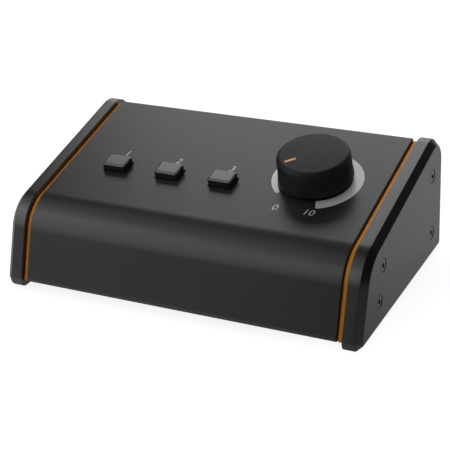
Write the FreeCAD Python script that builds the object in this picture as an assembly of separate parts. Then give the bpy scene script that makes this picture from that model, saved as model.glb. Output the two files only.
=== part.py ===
import FreeCAD, Part

import math
import os

# Desktop monitor controller: a bent sheet shell over a folded tray, held between two thick
# cheeks. Every solid is drawn in a drafting frame: X to the right, Y to the back with 0 at the
# sharp front bottom corner of the cheeks, Z up with 0 at the foot of the cheeks. The last step
# moves all of them to the part's own frame, whose origin is the bottom centre of the whole part.
# Pieces on the sloping panel are drawn in a panel frame: X to the right, Y up the slope from the
# sharp bend of the shell, Z out of the panel with 0 at its outer face. All sizes are millimetres.

# ---------------------------------------------------------------- driving dimensions
# Side outline and cheeks
WIDTH = 150.0               # over both cheeks
DEPTH = 96.0                # sharp front corner to the back edge of the cheeks
FRONT_RISE = 32.8           # height of the sharp bend
FRONT_LEAN = 10.5           # the bend stands this far behind the front corner
SLOPE_DEG = 13.1            # rise of the sloping panel
CHEEK_T = 7.2
CHEEK_CHAMFER = 2.5
CHEEK_BEND_R = 17.0
CHEEK_FRONT_R = 3.5
CHEEK_TOP_R = 10.5
CHEEK_BACK_R = 3.5

# Trim plates between the shell and the cheeks
TRIM_T = 2.4
TRIM_INSET = 1.6            # inside the cheek outline
TRIM_FOOT = 2.6             # lowest edge above the foot of the cheeks
TRIM_BACK = 2.2             # rear edge in front of the back of the shell
TRIM_CORNER_R = 1.0

# Shell
SHELL_T = 1.5
SHELL_SINK = 0.5            # the shell lies this far inside the cheek outline
SHELL_FOOT = 2.8            # underside above the foot of the cheeks
SHELL_SETBACK = 8.6         # back face in front of the back edge of the cheeks
SHELL_FOLD_R = 1.7          # outer radius of the two folded lips
SHELL_LIP = 12.0            # depth of the front lip
SHELL_REAR_LIP = 8.6        # height of the rear lip
REAR_LIP_SCREWS = 5.2       # axes below the back edge

# Tray and rear panel
TRAY_T = 2.0
TRAY_FOLD_R = 2.6
TRAY_FRONT_GAP = 1.2        # between the tray and the inside of the shell
TRAY_TOP_GAP = 0.4
REAR_T = 1.5
REAR_FLANGE = 12.0
REAR_SIDE_GAP = 0.65
REAR_TOP_GAP = 0.3

# Feet
FOOT_PROUD = 1.0            # the feet lift the cheeks this far off the table
FOOT_R = 6.5
FOOT_TAPER = 0.8
FOOT_EDGE = 0.7
FOOT_IN = 13.4              # axis inside the tray's walls
FOOT_FRONT_Y = 26.0
FOOT_BACK_IN = 16.4         # axis in front of the rear panel

# Screws, metric 3 mm
SCREW_R = 1.5
THREAD_GAP = 0.02           # radial, between a screw and its tapped hole
HOLE_GAP = 0.15             # radial, between a screw and a plain hole
PAN_R = 2.75
PAN_H = 1.7
PAN_BEVEL = 0.5
CSK_R = 2.75
CSK_SINK = 0.15             # screw head below the cheek's face
CSK_GAP = 0.02              # radial, round the countersunk head
SOCKET_AF = 2.0
SOCKET_DEPTH = 0.9

# Places of the cheek screws: two beside the front, two beside the back
CHEEK_SCREW_FRONT_IN = 17.6     # behind the front edge, measured level
CHEEK_SCREW_LOW_Z = 11.8
CHEEK_SCREW_MID_Z = 24.6
CHEEK_SCREW_BACK_IN = 13.5      # in front of the back edge
CHEEK_SCREW_HIGH_Z = 36.3
LIP_SCREW_COUNT = 3         # in each row
LIP_SCREW_REACH = 0.66      # outer screws, as a share of the way to the tray's walls

# Volume control
KNOB_IN = 25.1              # axis inside the tray's right wall
KNOB_FROM_BACK = 36.05       # axis down the slope from the back edge
KNOB_GAP = 1.7              # between knob and panel
KNOB_TOP = 12.5             # above the panel
KNOB_FOOT_R = 14.75
KNOB_RIM_R = 14.2
KNOB_FLARE_H = 3.2
KNOB_EDGE_R = 1.8
KNOB_WALL = 2.0
KNOB_ROOF = 2.2
KNOB_HUB_R = 5.4
KNOB_HUB_FOOT = 5.2         # hub starts this high above the panel
KNOB_RIBS = 6
KNOB_RIB_T = 1.0
KNOB_RIB_H = 4.0
POINTER_IN = 7.1            # nearest point to the knob's axis
POINTER_LEN = 4.5
POINTER_W = 1.2
POINTER_DEPTH = 0.7
POINTER_DEG = 223.5         # rest direction, counter-clockwise from X, seen from outside

SHAFT_R = 3.0
SHAFT_FLAT = 1.5            # flat's distance from the axis
SHAFT_IN_HUB = 5.0
SHAFT_GAP = 0.03            # running clearance in the bush
HUB_GAP = 0.02
BUSH_R = 3.5
BUSH_PROUD = 4.6            # above the panel
BUSH_GAP = 0.1
POT_R = 8.5
POT_DEPTH = 12.0
POT_PLATE = 17.0
POT_PLATE_T = 1.2
POT_WALL = 0.9
ROTOR_R = 6.6
ROTOR_T = 1.4
ROTOR_COUNT = 2
ROTOR_GAP = 0.5
NUT_AF = 9.5
NUT_H = 2.0
WASHER_R = 5.6
WASHER_T = 0.5
KEY_R = 1.0                 # pin that keeps the potentiometer from turning
KEY_OUT = 7.2
KEY_GAP = 0.1
TERMINAL_COUNT = 3
TERMINAL_PITCH = 3.2
TERMINAL_W = 1.2
TERMINAL_T = 0.4
TERMINAL_LEN = 4.0

# Push buttons
BUTTON_COUNT = 3
BUTTON_IN = 19.8            # first button inside the tray's left wall
BUTTON_SHARE = 0.2857       # spacing, as a share of the way from first button to knob
BUTTON_BELOW = 10.0         # down the slope from the knob's axis
CAP_W = 9.8
CAP_D = 7.2
CAP_TOP = 3.2               # above the panel
CAP_BEVEL_DROP = 0.5
CAP_BEVEL_W = 0.5           # run of the bevel at the sides
CAP_BEVEL_D = 0.6           # run of the bevel at front and back
CAP_CORNER_R = 0.5
CAP_WALL = 1.0
CAP_ROOF = 2.0
CAP_POST = 5.0
CAP_SKIRT = 0.4             # below the inner face of the shell
CAP_GAP = 0.35
BUTTON_TRAVEL = 2.0

# Push switches
SWITCH_SIDE = 8.5
SWITCH_H = 6.0
SWITCH_GUIDE = 1.2
SWITCH_FLOOR = 0.8
SWITCH_WALL = 1.0
STEM = 3.0
STEM_GAP = 0.05
STEM_IN_CAP = 2.6
STEM_FLANGE = 5.4
STEM_FLANGE_T = 0.8
STEM_TOP_GAP = 0.1
SPRING_R = 1.9
SPRING_WIRE_R = 0.15
SPRING_TURNS = 3
SPRING_RUNS = 16            # straight runs in each turn
SPRING_GAP = 0.02

# Control board below the panel
STANDOFF_H = 9.2
STANDOFF_R = 2.5
STANDOFF_TAP = 6.0
STANDOFF_IN = 5.0           # inside the board's edges
BOARD_T = 1.6
BOARD_SIDE_GAP = 6.4        # to the tray's walls
BOARD_BELOW = 15.5          # beyond the buttons' centres, down the slope
BOARD_ABOVE = 7.5           # beyond the knob's axis, up the slope
BOARD_POT_GAP = 0.5
BOARD_SCREW_LEN = 5.0
RESISTOR_COUNT = 6
RESISTOR_R = 1.0
RESISTOR_LEN = 6.0
RESISTOR_IN = 13.0          # first resistor inside the board's left edge
RESISTOR_PITCH = 7.0
RESISTOR_GAP = 1.8          # behind the switches

# Rear connectors
SOCKET_DEPTH_IN = 16.4      # bodies behind the rear panel
FLANGE_SIDE_GAP = 1.4       # from the outer flanges to the tray's walls
FLANGE_MIDDLE = 8.0         # from the inner flanges to the middle of the panel
FLANGE_GAP = 2.0            # between neighbouring flanges
FLANGE_CLEAR = 2.5          # between the flanges and the folds above and below
FLANGE_T = 2.0
FLANGE_R = 3.0
FLANGE_SCREW_IN = 3.5       # inside the flange's edges
BARREL_WALL_GAP = 1.2       # between the barrel and the flange's side
BARREL_GAP = 0.2
INPUT_CUP_SHARE = 0.822     # cup, as a share of the barrel
INPUT_CUP_DEPTH = 13.9
INSERT_RING = 1.75          # ring gap round the insert, for the plug's shell
INSERT_SHORT = 0.5
JACK_R = 3.23
JACK_PASS_R = 4.0
CONTACT_FILL = 0.57         # contact hole, as a share of the insert's wall
CONTACT_DEPTH = 12.0
CONTACT_DEG = (50.0, 130.0, 270.0)
OUTPUT_WALL = 3.65
OUTPUT_CUP_DEPTH = 14.5
PIN_R = 1.2
PIN_BEVEL = 0.5
PIN_REACH = 0.54            # pin circle, as a share of the cup
PIN_TIP_BACK = 4.9          # pin tips behind the flange's front face
MINI_X = 0.0
MINI_R = 1.8
MINI_BUSH_R = 3.0
MINI_BUSH_GAP = 0.1
MINI_BUSH_PROUD = 3.1
MINI_BODY_W = 12.0
MINI_BODY_H = 11.0
MINI_BORE = 14.0
MINI_NUT_R = 4.5
MINI_NUT_H = 2.0
CONNECTOR_BOARD_GAP = 1.4   # to the tray's walls
CONNECTOR_BOARD_DOWN = 13.5 # below the sockets' axes
CONNECTOR_BOARD_UP = 12.5   # above them

# Ribbon cable between the boards
HEADER_W = 14.0
HEADER_T = 5.0
HEADER_H = 6.0
RIBBON_W = 10.0
RIBBON_T = 1.0
RIBBON_R = 3.0
HEADER_RAISE = 4.5          # above the connector board's low edge
HEADER_IN = 7.0             # up the slope from the board's low edge

# ---------------------------------------------------------------- derived sizes
SLOPE = math.radians(SLOPE_DEG)
LEAN = math.atan2(FRONT_LEAN, FRONT_RISE)
TRIM_X = WIDTH / 2 - CHEEK_T            # outer face of the trim plates
SHELL_X = TRIM_X - TRIM_T               # end faces of shell and tray
WALL_X = SHELL_X - TRAY_T               # inner face of the tray's walls
SHELL_BACK = DEPTH - SHELL_SETBACK
REAR_OUT = SHELL_BACK - SHELL_T         # outer face of the rear panel
REAR_IN = REAR_OUT - REAR_T
TRAY_Z = SHELL_FOOT + SHELL_T           # underside of the tray
FLOOR_Z = TRAY_Z + TRAY_T
BOARD_H = -(SHELL_T + STANDOFF_H)       # top of the control board, panel frame
CUT = 1.0                               # how far a cutting tool runs past a face
FOOT_HALF = (math.pi / 2 - LEAN) / 2
FRONT_MOST = CHEEK_FRONT_R / math.tan(FOOT_HALF) - CHEEK_FRONT_R
MID_Y = (FRONT_MOST + DEPTH) / 2

# Widths that follow from the space between the tray's walls
KNOB_X = WALL_X - KNOB_IN
BUTTON_X = BUTTON_IN - WALL_X
BUTTON_PITCH = (KNOB_X - BUTTON_X) * BUTTON_SHARE
BOARD_X = WALL_X - BOARD_SIDE_GAP
STANDOFF_X = BOARD_X - STANDOFF_IN
RESISTOR_X = RESISTOR_IN - BOARD_X
CONNECTOR_BOARD_X = WALL_X - CONNECTOR_BOARD_GAP
FOOT_X = WALL_X - FOOT_IN
FOOT_BACK_Y = REAR_OUT - FOOT_BACK_IN
LIP_SCREW_X = WALL_X * LIP_SCREW_REACH
FLANGE_W = (WALL_X - FLANGE_SIDE_GAP - FLANGE_MIDDLE - FLANGE_GAP) / 2
SOCKET_FAR = WALL_X - FLANGE_SIDE_GAP - FLANGE_W / 2
SOCKET_NEAR = FLANGE_MIDDLE + FLANGE_W / 2
INPUT_X = (-SOCKET_FAR, -SOCKET_NEAR)
OUTPUT_X = (SOCKET_FAR, SOCKET_NEAR)
FLANGE_SCREW_X = FLANGE_W / 2 - FLANGE_SCREW_IN
BARREL_R = FLANGE_W / 2 - BARREL_WALL_GAP
INPUT_CUP_R = BARREL_R * INPUT_CUP_SHARE
INSERT_R = INPUT_CUP_R - INSERT_RING
CONTACT_RING = (JACK_R + INSERT_R) / 2
CONTACT_R = (INSERT_R - JACK_R) / 2 * CONTACT_FILL
OUTPUT_CUP_R = BARREL_R - OUTPUT_WALL
PIN_RING = OUTPUT_CUP_R * PIN_REACH

X_AXIS = FreeCAD.Vector(1, 0, 0)
Y_AXIS = FreeCAD.Vector(0, 1, 0)
Z_AXIS = FreeCAD.Vector(0, 0, 1)
ORIGIN = FreeCAD.Vector(0, 0, 0)


# ---------------------------------------------------------------- outlines
def add(a, b):
    return (a[0] + b[0], a[1] + b[1])


def scaled(a, k):
    return (a[0] * k, a[1] * k)


def unit(a, b):
    length = math.hypot(b[0] - a[0], b[1] - a[1])
    return ((b[0] - a[0]) / length, (b[1] - a[1]) / length)


def crossing(p, d, q, e):
    """Where the line through p along d meets the line through q along e."""
    det = d[1] * e[0] - d[0] * e[1]
    t = ((q[1] - p[1]) * e[0] - (q[0] - p[0]) * e[1]) / det
    return add(p, scaled(d, t))


def inset(points, distance):
    """A closed clockwise outline moved inwards by one distance on every side."""
    count = len(points)
    sides = []
    for i in range(count):
        d = unit(points[i], points[(i + 1) % count])
        sides.append((add(points[i], scaled((d[1], -d[0]), distance)), d))
    return [crossing(*sides[i - 1], *sides[i]) for i in range(count)]


def path_edges(points, radii, closed, place):
    """Straight runs joined by tangent arcs; place turns an outline point into a vector."""
    count = len(points)
    starts = []
    ends = []
    arcs = []
    for i in range(count):
        radius = radii[i]
        if radius <= 0 or (not closed and i in (0, count - 1)):
            starts.append(points[i])
            ends.append(points[i])
            arcs.append(None)
            continue
        back = unit(points[i], points[i - 1])
        ahead = unit(points[i], points[(i + 1) % count])
        half = math.acos(back[0] * ahead[0] + back[1] * ahead[1]) / 2
        reach = radius / math.tan(half)
        middle = unit((0, 0), add(back, ahead))
        starts.append(add(points[i], scaled(back, reach)))
        ends.append(add(points[i], scaled(ahead, reach)))
        arcs.append(add(points[i], scaled(middle, radius / math.sin(half) - radius)))
    edges = []
    for i in range(count):
        if arcs[i]:
            arc = Part.Arc(place(starts[i]), place(arcs[i]), place(ends[i]))
            edges.append(arc.toShape())
        if i + 1 < count or closed:
            edges.append(Part.LineSegment(place(ends[i]), place(starts[(i + 1) % count])).toShape())
    return edges


def side_point(x):
    """Outline points of the side view, on the plane at x."""
    return lambda p: FreeCAD.Vector(x, p[0], p[1])


def side_plate(points, radii, x_low, x_high):
    """A closed side outline carried from x_low to x_high."""
    wire = Part.Wire(path_edges(points, radii, True, side_point(x_low)))
    return Part.Face(wire).extrude(X_AXIS * (x_high - x_low))


def bent_sheet(points, radii, thickness, x_low, x_high):
    """A sheet folded along an open side outline, thickness on the outline's right hand."""
    count = len(points)
    sides = []
    for i in range(count - 1):
        d = unit(points[i], points[i + 1])
        sides.append((add(points[i], scaled((d[1], -d[0]), thickness)), d))
    inner = [sides[0][0]]
    for i in range(1, count - 1):
        inner.append(crossing(*sides[i - 1], *sides[i]))
    last = sides[-1]
    inner.append(add(points[-1], scaled((last[1][1], -last[1][0]), thickness)))
    place = side_point(x_low)
    outer_edges = path_edges(points, radii, False, place)
    inner_edges = path_edges(inner, [max(r - thickness, 0) for r in radii], False, place)
    first_end = Part.LineSegment(place(points[0]), place(inner[0])).toShape()
    last_end = Part.LineSegment(place(points[-1]), place(inner[-1])).toShape()
    ordered = Part.sortEdges(outer_edges + [last_end] + inner_edges + [first_end])[0]
    return Part.Face(Part.Wire(ordered)).extrude(X_AXIS * (x_high - x_low))


# ---------------------------------------------------------------- small solids
def box(x, y, z):
    """A box from three (low, high) pairs."""
    corner = FreeCAD.Vector(x[0], y[0], z[0])
    return Part.makeBox(x[1] - x[0], y[1] - y[0], z[1] - z[0], corner)


def block(x, y, z_low, z_high, side_x, side_y):
    """A box centred on x and y."""
    return box((x - side_x / 2, x + side_x / 2), (y - side_y / 2, y + side_y / 2), (z_low, z_high))


def rod(radius, x, y, z_low, z_high):
    return Part.makeCylinder(radius, z_high - z_low, FreeCAD.Vector(x, y, z_low))


def rod_along(radius, start, axis, length):
    return Part.makeCylinder(radius, length, FreeCAD.Vector(*start), axis)


def hexagon(across_flats, base, axis, height):
    """A hexagonal prism standing on base along axis."""
    radius = across_flats / math.sqrt(3)
    corners = []
    for i in range(6):
        angle = math.radians(60 * i)
        corners.append(FreeCAD.Vector(radius * math.cos(angle), radius * math.sin(angle), 0))
    prism = Part.Face(Part.makePolygon(corners + corners[:1])).extrude(Z_AXIS * height)
    prism.Placement = FreeCAD.Placement(FreeCAD.Vector(*base), FreeCAD.Rotation(Z_AXIS, axis))
    return prism


def turned(profile, radii=None):
    """A solid of revolution about Z from a closed (radius, height) outline."""
    radii = radii or [0] * len(profile)
    edges = path_edges(profile, radii, True, lambda p: FreeCAD.Vector(p[0], 0, p[1]))
    return Part.Face(Part.Wire(edges)).revolve(ORIGIN, Z_AXIS, 360)


def pan_screw(length):
    """Along +Z from the seat at 0: the shank goes down, the bevelled head stands up."""
    outline = [(0, 0), (PAN_R, 0), (PAN_R, PAN_H - PAN_BEVEL), (PAN_R - PAN_BEVEL, PAN_H), (0, PAN_H)]
    head = turned(outline)
    shank = rod(SCREW_R, 0, 0, -length, 0)
    socket = hexagon(SOCKET_AF, (0, 0, PAN_H - SOCKET_DEPTH), Z_AXIS, SOCKET_DEPTH + CUT)
    return head.fuse(shank).cut(socket)


def countersunk_screw(length):
    """Along +Z with the top of the head at 0."""
    depth = CSK_R - SCREW_R
    outline = [(0, 0), (CSK_R, 0), (SCREW_R, -depth), (SCREW_R, -length), (0, -length)]
    socket = hexagon(SOCKET_AF, (0, 0, -SOCKET_DEPTH), Z_AXIS, SOCKET_DEPTH + CUT)
    return turned(outline).cut(socket)


def turned_to(shape, axis, base):
    """A Z-built shape laid along axis, with its origin at base."""
    placed = shape.copy()
    placed.Placement = FreeCAD.Placement(FreeCAD.Vector(*base), FreeCAD.Rotation(Z_AXIS, axis))
    return placed


# ---------------------------------------------------------------- side outlines of this object
def slope_z(y):
    """Height of the cheek's sharp slope line."""
    return FRONT_RISE + (y - FRONT_LEAN) * math.tan(SLOPE)


CHEEK_LINE = [(0.0, 0.0), (FRONT_LEAN, FRONT_RISE), (DEPTH, slope_z(DEPTH)), (DEPTH, 0.0)]


def front_of(line, z):
    """Where an outline's front edge stands at height z."""
    return crossing(line[0], unit(line[0], line[1]), (0, z), (1, 0))[0]


def top_of(line, y):
    """Height of an outline's sloping edge at y."""
    return crossing(line[1], unit(line[1], line[2]), (y, 0), (0, 1))[1]


SHELL_LINE = inset(CHEEK_LINE, SHELL_SINK)
INNER_LINE = inset(CHEEK_LINE, SHELL_SINK + SHELL_T)
TRIM_LINE = inset(CHEEK_LINE, TRIM_INSET)
BEND = SHELL_LINE[1]
SCREW_AT = [
    (front_of(CHEEK_LINE, CHEEK_SCREW_LOW_Z) + CHEEK_SCREW_FRONT_IN, CHEEK_SCREW_LOW_Z),
    (front_of(CHEEK_LINE, CHEEK_SCREW_MID_Z) + CHEEK_SCREW_FRONT_IN, CHEEK_SCREW_MID_Z),
    (DEPTH - CHEEK_SCREW_BACK_IN, CHEEK_SCREW_LOW_Z),
    (DEPTH - CHEEK_SCREW_BACK_IN, CHEEK_SCREW_HIGH_Z),
]

PANEL = FreeCAD.Placement(
    FreeCAD.Vector(0, BEND[0], BEND[1]), FreeCAD.Rotation(X_AXIS, SLOPE_DEG)
)


def on_panel(shape):
    """From the panel frame to the drafting frame."""
    placed = shape.copy()
    placed.Placement = PANEL.multiply(placed.Placement)
    return placed


def both_sides(shape):
    return shape, shape.mirror(ORIGIN, X_AXIS)


def row(count, first, last):
    if count == 1:
        return [(first + last) / 2]
    return [first + (last - first) * i / (count - 1) for i in range(count)]


# Places up the slope, counted from the shell's back edge, so the controls keep clear of the sockets
PANEL_LEN = (SHELL_BACK - BEND[0]) / math.cos(SLOPE)
KNOB_S = PANEL_LEN - KNOB_FROM_BACK
BUTTON_S = KNOB_S - BUTTON_BELOW
BOARD_S = (BUTTON_S - BOARD_BELOW, KNOB_S + BOARD_ABOVE)
STANDOFF_S = (BOARD_S[0] + STANDOFF_IN, BOARD_S[1] - STANDOFF_IN)
RESISTOR_S = BUTTON_S + SWITCH_SIDE / 2 + RESISTOR_GAP
HEADER_S = BOARD_S[0] + HEADER_IN

BUTTONS = [(BUTTON_X + BUTTON_PITCH * i, BUTTON_S) for i in range(BUTTON_COUNT)]
SCREW_ROW = row(LIP_SCREW_COUNT, -LIP_SCREW_X, LIP_SCREW_X)
FRONT_LIP_Y = front_of(SHELL_LINE, SHELL_FOOT) + SHELL_LIP * 0.65
REAR_FLANGE_Y = REAR_OUT - REAR_FLANGE / 2
REAR_EDGE_Z = top_of(SHELL_LINE, SHELL_BACK)
REAR_LIP_Z = REAR_EDGE_Z - REAR_LIP_SCREWS
REAR_LIP_LOW = REAR_EDGE_Z - SHELL_REAR_LIP

# Heights of the sockets, between the rear lip and the tray's floor
SOCKET_Z = (REAR_LIP_LOW + FLOOR_Z) / 2
FLANGE_H = REAR_LIP_LOW - FLOOR_Z - 2 * FLANGE_CLEAR
FLANGE_SCREW_Z = FLANGE_H / 2 - FLANGE_SCREW_IN
CONNECTOR_BOARD_Z = (SOCKET_Z - CONNECTOR_BOARD_DOWN, SOCKET_Z + CONNECTOR_BOARD_UP)
HEADER_LOW_Z = CONNECTOR_BOARD_Z[0] + HEADER_RAISE


# ---------------------------------------------------------------- casing
def cheek():
    """Right cheek: a rounded plate with a flat chamfer round its outer face."""
    radii = [CHEEK_FRONT_R, CHEEK_BEND_R, CHEEK_TOP_R, CHEEK_BACK_R]
    plate = side_plate(CHEEK_LINE, radii, TRIM_X, WIDTH / 2)
    rim = [e for e in plate.Edges if min(v.X for v in e.Vertexes) > WIDTH / 2 - 1e-6]
    plate = plate.makeChamfer(CHEEK_CHAMFER, rim)
    head_r = CSK_R + CSK_GAP
    seat = head_r - SCREW_R - HOLE_GAP
    for y, z in SCREW_AT:
        hole = rod(SCREW_R + HOLE_GAP, 0, 0, -CHEEK_T - CUT, CUT)
        cone = Part.makeCone(SCREW_R + HOLE_GAP, head_r, seat, ORIGIN)
        mouth = rod(head_r, 0, 0, 0, CUT)
        cone.translate(Z_AXIS * -(seat + CSK_SINK))
        mouth.translate(Z_AXIS * -CSK_SINK)
        tool = hole.fuse([cone, mouth])
        plate = plate.cut(turned_to(tool, X_AXIS, (WIDTH / 2, y, z)))
    return plate


def trim_plate():
    back = SHELL_BACK - TRIM_BACK
    corner = (front_of(TRIM_LINE, TRIM_FOOT), TRIM_FOOT)
    outline = [corner, TRIM_LINE[1], (back, top_of(TRIM_LINE, back)), (back, TRIM_FOOT)]
    radii = [TRIM_CORNER_R, CHEEK_BEND_R - TRIM_INSET, TRIM_CORNER_R, TRIM_CORNER_R]
    plate = side_plate(outline, radii, SHELL_X, TRIM_X)
    for y, z in SCREW_AT:
        hole = rod_along(SCREW_R + HOLE_GAP, (SHELL_X - CUT, y, z), X_AXIS, TRIM_T + 2 * CUT)
        plate = plate.cut(hole)
    return plate


def cheek_screws():
    tip = WALL_X + 0.1
    screws = []
    for y, z in SCREW_AT:
        head = WIDTH / 2 - CSK_SINK
        screws.append(turned_to(countersunk_screw(head - tip), X_AXIS, (head, y, z)))
    return screws


def top_shell():
    """One sheet: front lip, front, wide bend, sloping panel, rear lip."""
    toe = (front_of(SHELL_LINE, SHELL_FOOT), SHELL_FOOT)
    heel = (SHELL_BACK, REAR_EDGE_Z)
    outline = [
        (toe[0] + SHELL_LIP, SHELL_FOOT),
        toe,
        BEND,
        heel,
        (SHELL_BACK, REAR_LIP_LOW),
    ]
    radii = [0, SHELL_FOLD_R, CHEEK_BEND_R - SHELL_SINK, SHELL_FOLD_R, 0]
    shell = bent_sheet(outline, radii, SHELL_T, -SHELL_X, SHELL_X)
    tools = []
    deep = -SHELL_T - CUT
    for x, s in BUTTONS:
        opening = Part.Face(cap_ring(-CAP_GAP, -CAP_GAP, deep)).extrude(Z_AXIS * (CUT - deep))
        opening.translate(FreeCAD.Vector(x, s, 0))
        tools.append(on_panel(opening))
    tools.append(on_panel(rod(BUSH_R + BUSH_GAP, KNOB_X, KNOB_S, deep, CUT)))
    tools.append(on_panel(rod(KEY_R + KEY_GAP, KNOB_X, KNOB_S + KEY_OUT, deep, CUT)))
    for x in SCREW_ROW:
        low = (x, FRONT_LIP_Y, SHELL_FOOT - CUT)
        tools.append(rod_along(SCREW_R + HOLE_GAP, low, Z_AXIS, SHELL_T + 2 * CUT))
        rear = (x, REAR_OUT - CUT, REAR_LIP_Z)
        tools.append(rod_along(SCREW_R + HOLE_GAP, rear, Y_AXIS, SHELL_T + 2 * CUT))
    return shell.cut(tools)


def base_tray():
    """A channel folded from one sheet: floor and two walls that follow the shell's inside."""
    front_gap = TRAY_FRONT_GAP / math.cos(LEAN)
    low_y = front_of(INNER_LINE, TRAY_Z) + front_gap
    line = inset(CHEEK_LINE, SHELL_SINK + SHELL_T + TRAY_TOP_GAP)
    knee = crossing((low_y, TRAY_Z), unit(line[0], line[1]), line[1], unit(line[1], line[2]))
    lip_front = REAR_OUT - TRAY_TOP_GAP
    lip_under = REAR_LIP_LOW - TRAY_TOP_GAP
    back = SHELL_BACK - 0.2
    outline = [
        (low_y, TRAY_Z),
        knee,
        (lip_front, top_of(line, lip_front)),
        (lip_front, lip_under),
        (back, lip_under),
        (back, TRAY_Z),
    ]
    radii = [0, CHEEK_BEND_R - SHELL_SINK - SHELL_T, 0, 0, 2.0, 0]
    body = side_plate(outline, radii, -SHELL_X, SHELL_X)
    high = slope_z(DEPTH)
    channel = box((-SHELL_X, SHELL_X), (-CUT, DEPTH), (TRAY_Z, high))
    folds = [e for e in channel.Edges if lies_along_y(e) and low_edge(e, TRAY_Z)]
    channel = channel.makeFillet(TRAY_FOLD_R, folds)
    hollow = box((-WALL_X, WALL_X), (-CUT - 1, DEPTH + 1), (FLOOR_Z, high + CUT))
    folds = [e for e in hollow.Edges if lies_along_y(e) and low_edge(e, FLOOR_Z)]
    hollow = hollow.makeFillet(TRAY_FOLD_R - TRAY_T, folds)
    tray = body.common(channel.cut(hollow))
    behind = box((-WALL_X, WALL_X), (REAR_OUT, DEPTH), (TRAY_Z - CUT, high))
    tools = [behind]
    for y, z in SCREW_AT:
        start = (-SHELL_X - CUT, y, z)
        tools.append(rod_along(SCREW_R + THREAD_GAP, start, X_AXIS, 2 * (SHELL_X + CUT)))
    for x in SCREW_ROW:
        tapped = (x, FRONT_LIP_Y, TRAY_Z - CUT)
        tools.append(rod_along(SCREW_R + THREAD_GAP, tapped, Z_AXIS, TRAY_T + 2 * CUT))
        plain = (x, REAR_FLANGE_Y, TRAY_Z - CUT)
        tools.append(rod_along(SCREW_R + HOLE_GAP, plain, Z_AXIS, TRAY_T + 2 * CUT))
    return tray.cut(tools)


def lies_along_y(edge):
    a, b = edge.Vertexes[0].Point, edge.Vertexes[-1].Point
    return abs(a.y - b.y) > 1 and abs(a.x - b.x) < 1e-6 and abs(a.z - b.z) < 1e-6


def low_edge(edge, z):
    return abs(edge.Vertexes[0].Point.z - z) < 1e-6


def rear_panel():
    """A plate with a flange folded forward onto the tray."""
    top = top_of(INNER_LINE, REAR_IN) - REAR_TOP_GAP
    half = WALL_X - REAR_SIDE_GAP
    outline = [(REAR_OUT, top), (REAR_OUT, FLOOR_Z), (REAR_OUT - REAR_FLANGE, FLOOR_Z)]
    panel = bent_sheet(outline, [0, SHELL_FOLD_R, 0], REAR_T, -half, half)
    tools = []
    for x in INPUT_X + OUTPUT_X:
        tools.append(through_rear(BARREL_R + BARREL_GAP, x, SOCKET_Z))
        for dx, dz in flange_screws():
            tools.append(through_rear(SCREW_R + THREAD_GAP, x + dx, SOCKET_Z + dz))
    tools.append(through_rear(MINI_BUSH_R + MINI_BUSH_GAP, MINI_X, SOCKET_Z))
    for x in SCREW_ROW:
        tools.append(through_rear(SCREW_R + THREAD_GAP, x, REAR_LIP_Z))
        low = (x, REAR_FLANGE_Y, FLOOR_Z - CUT)
        tools.append(rod_along(SCREW_R + THREAD_GAP, low, Z_AXIS, REAR_T + 2 * CUT))
    return panel.cut(tools)


def through_rear(radius, x, z):
    return rod_along(radius, (x, REAR_IN - CUT, z), Y_AXIS, REAR_T + 2 * CUT)


def flange_screws():
    return [(-FLANGE_SCREW_X, FLANGE_SCREW_Z), (FLANGE_SCREW_X, -FLANGE_SCREW_Z)]


def base_screws():
    """Up through the front lip into the tray, and up through the tray into the rear panel."""
    down = Z_AXIS * -1
    screws = []
    for x in SCREW_ROW:
        front = (x, FRONT_LIP_Y, SHELL_FOOT)
        screws.append(turned_to(pan_screw(SHELL_T + TRAY_T), down, front))
        rear = (x, REAR_FLANGE_Y, TRAY_Z)
        screws.append(turned_to(pan_screw(TRAY_T + REAR_T), down, rear))
    return screws


def lip_screws():
    screw = pan_screw(SHELL_T + REAR_T)
    return [turned_to(screw, Y_AXIS, (x, SHELL_BACK, REAR_LIP_Z)) for x in SCREW_ROW]


def rubber_feet():
    """Tapered pads stuck to the underside of the tray."""
    low = -FOOT_PROUD
    tread = FOOT_R - FOOT_TAPER
    outline = [(0, low), (tread - FOOT_EDGE, low), (tread, low + FOOT_EDGE), (FOOT_R, TRAY_Z), (0, TRAY_Z)]
    pad = turned(outline)
    feet = []
    for x in (-FOOT_X, FOOT_X):
        for y in (FOOT_FRONT_Y, FOOT_BACK_Y):
            foot = pad.copy()
            foot.translate(FreeCAD.Vector(x, y, 0))
            feet.append(foot)
    return feet


# ---------------------------------------------------------------- volume control
def at_knob(shape):
    """From a frame on the knob's axis, 0 at the panel's outer face, to the drafting frame."""
    placed = shape.copy()
    placed.translate(FreeCAD.Vector(KNOB_X, KNOB_S, 0))
    return on_panel(placed)


def d_bar(radius, flat, z_low, z_high):
    wide = radius + CUT
    bar = rod(radius, 0, 0, z_low, z_high)
    return bar.cut(box((-wide, wide), (flat, wide), (z_low - CUT, z_high + CUT)))


HUB_TOP = KNOB_HUB_FOOT + SHAFT_IN_HUB


def pointer_bar(grow_up):
    along = (POINTER_IN, POINTER_IN + POINTER_LEN)
    across = (-POINTER_W / 2, POINTER_W / 2)
    bar = box(along, across, (KNOB_TOP - POINTER_DEPTH, KNOB_TOP + grow_up))
    bar.rotate(ORIGIN, Z_AXIS, POINTER_DEG)
    return bar


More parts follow.
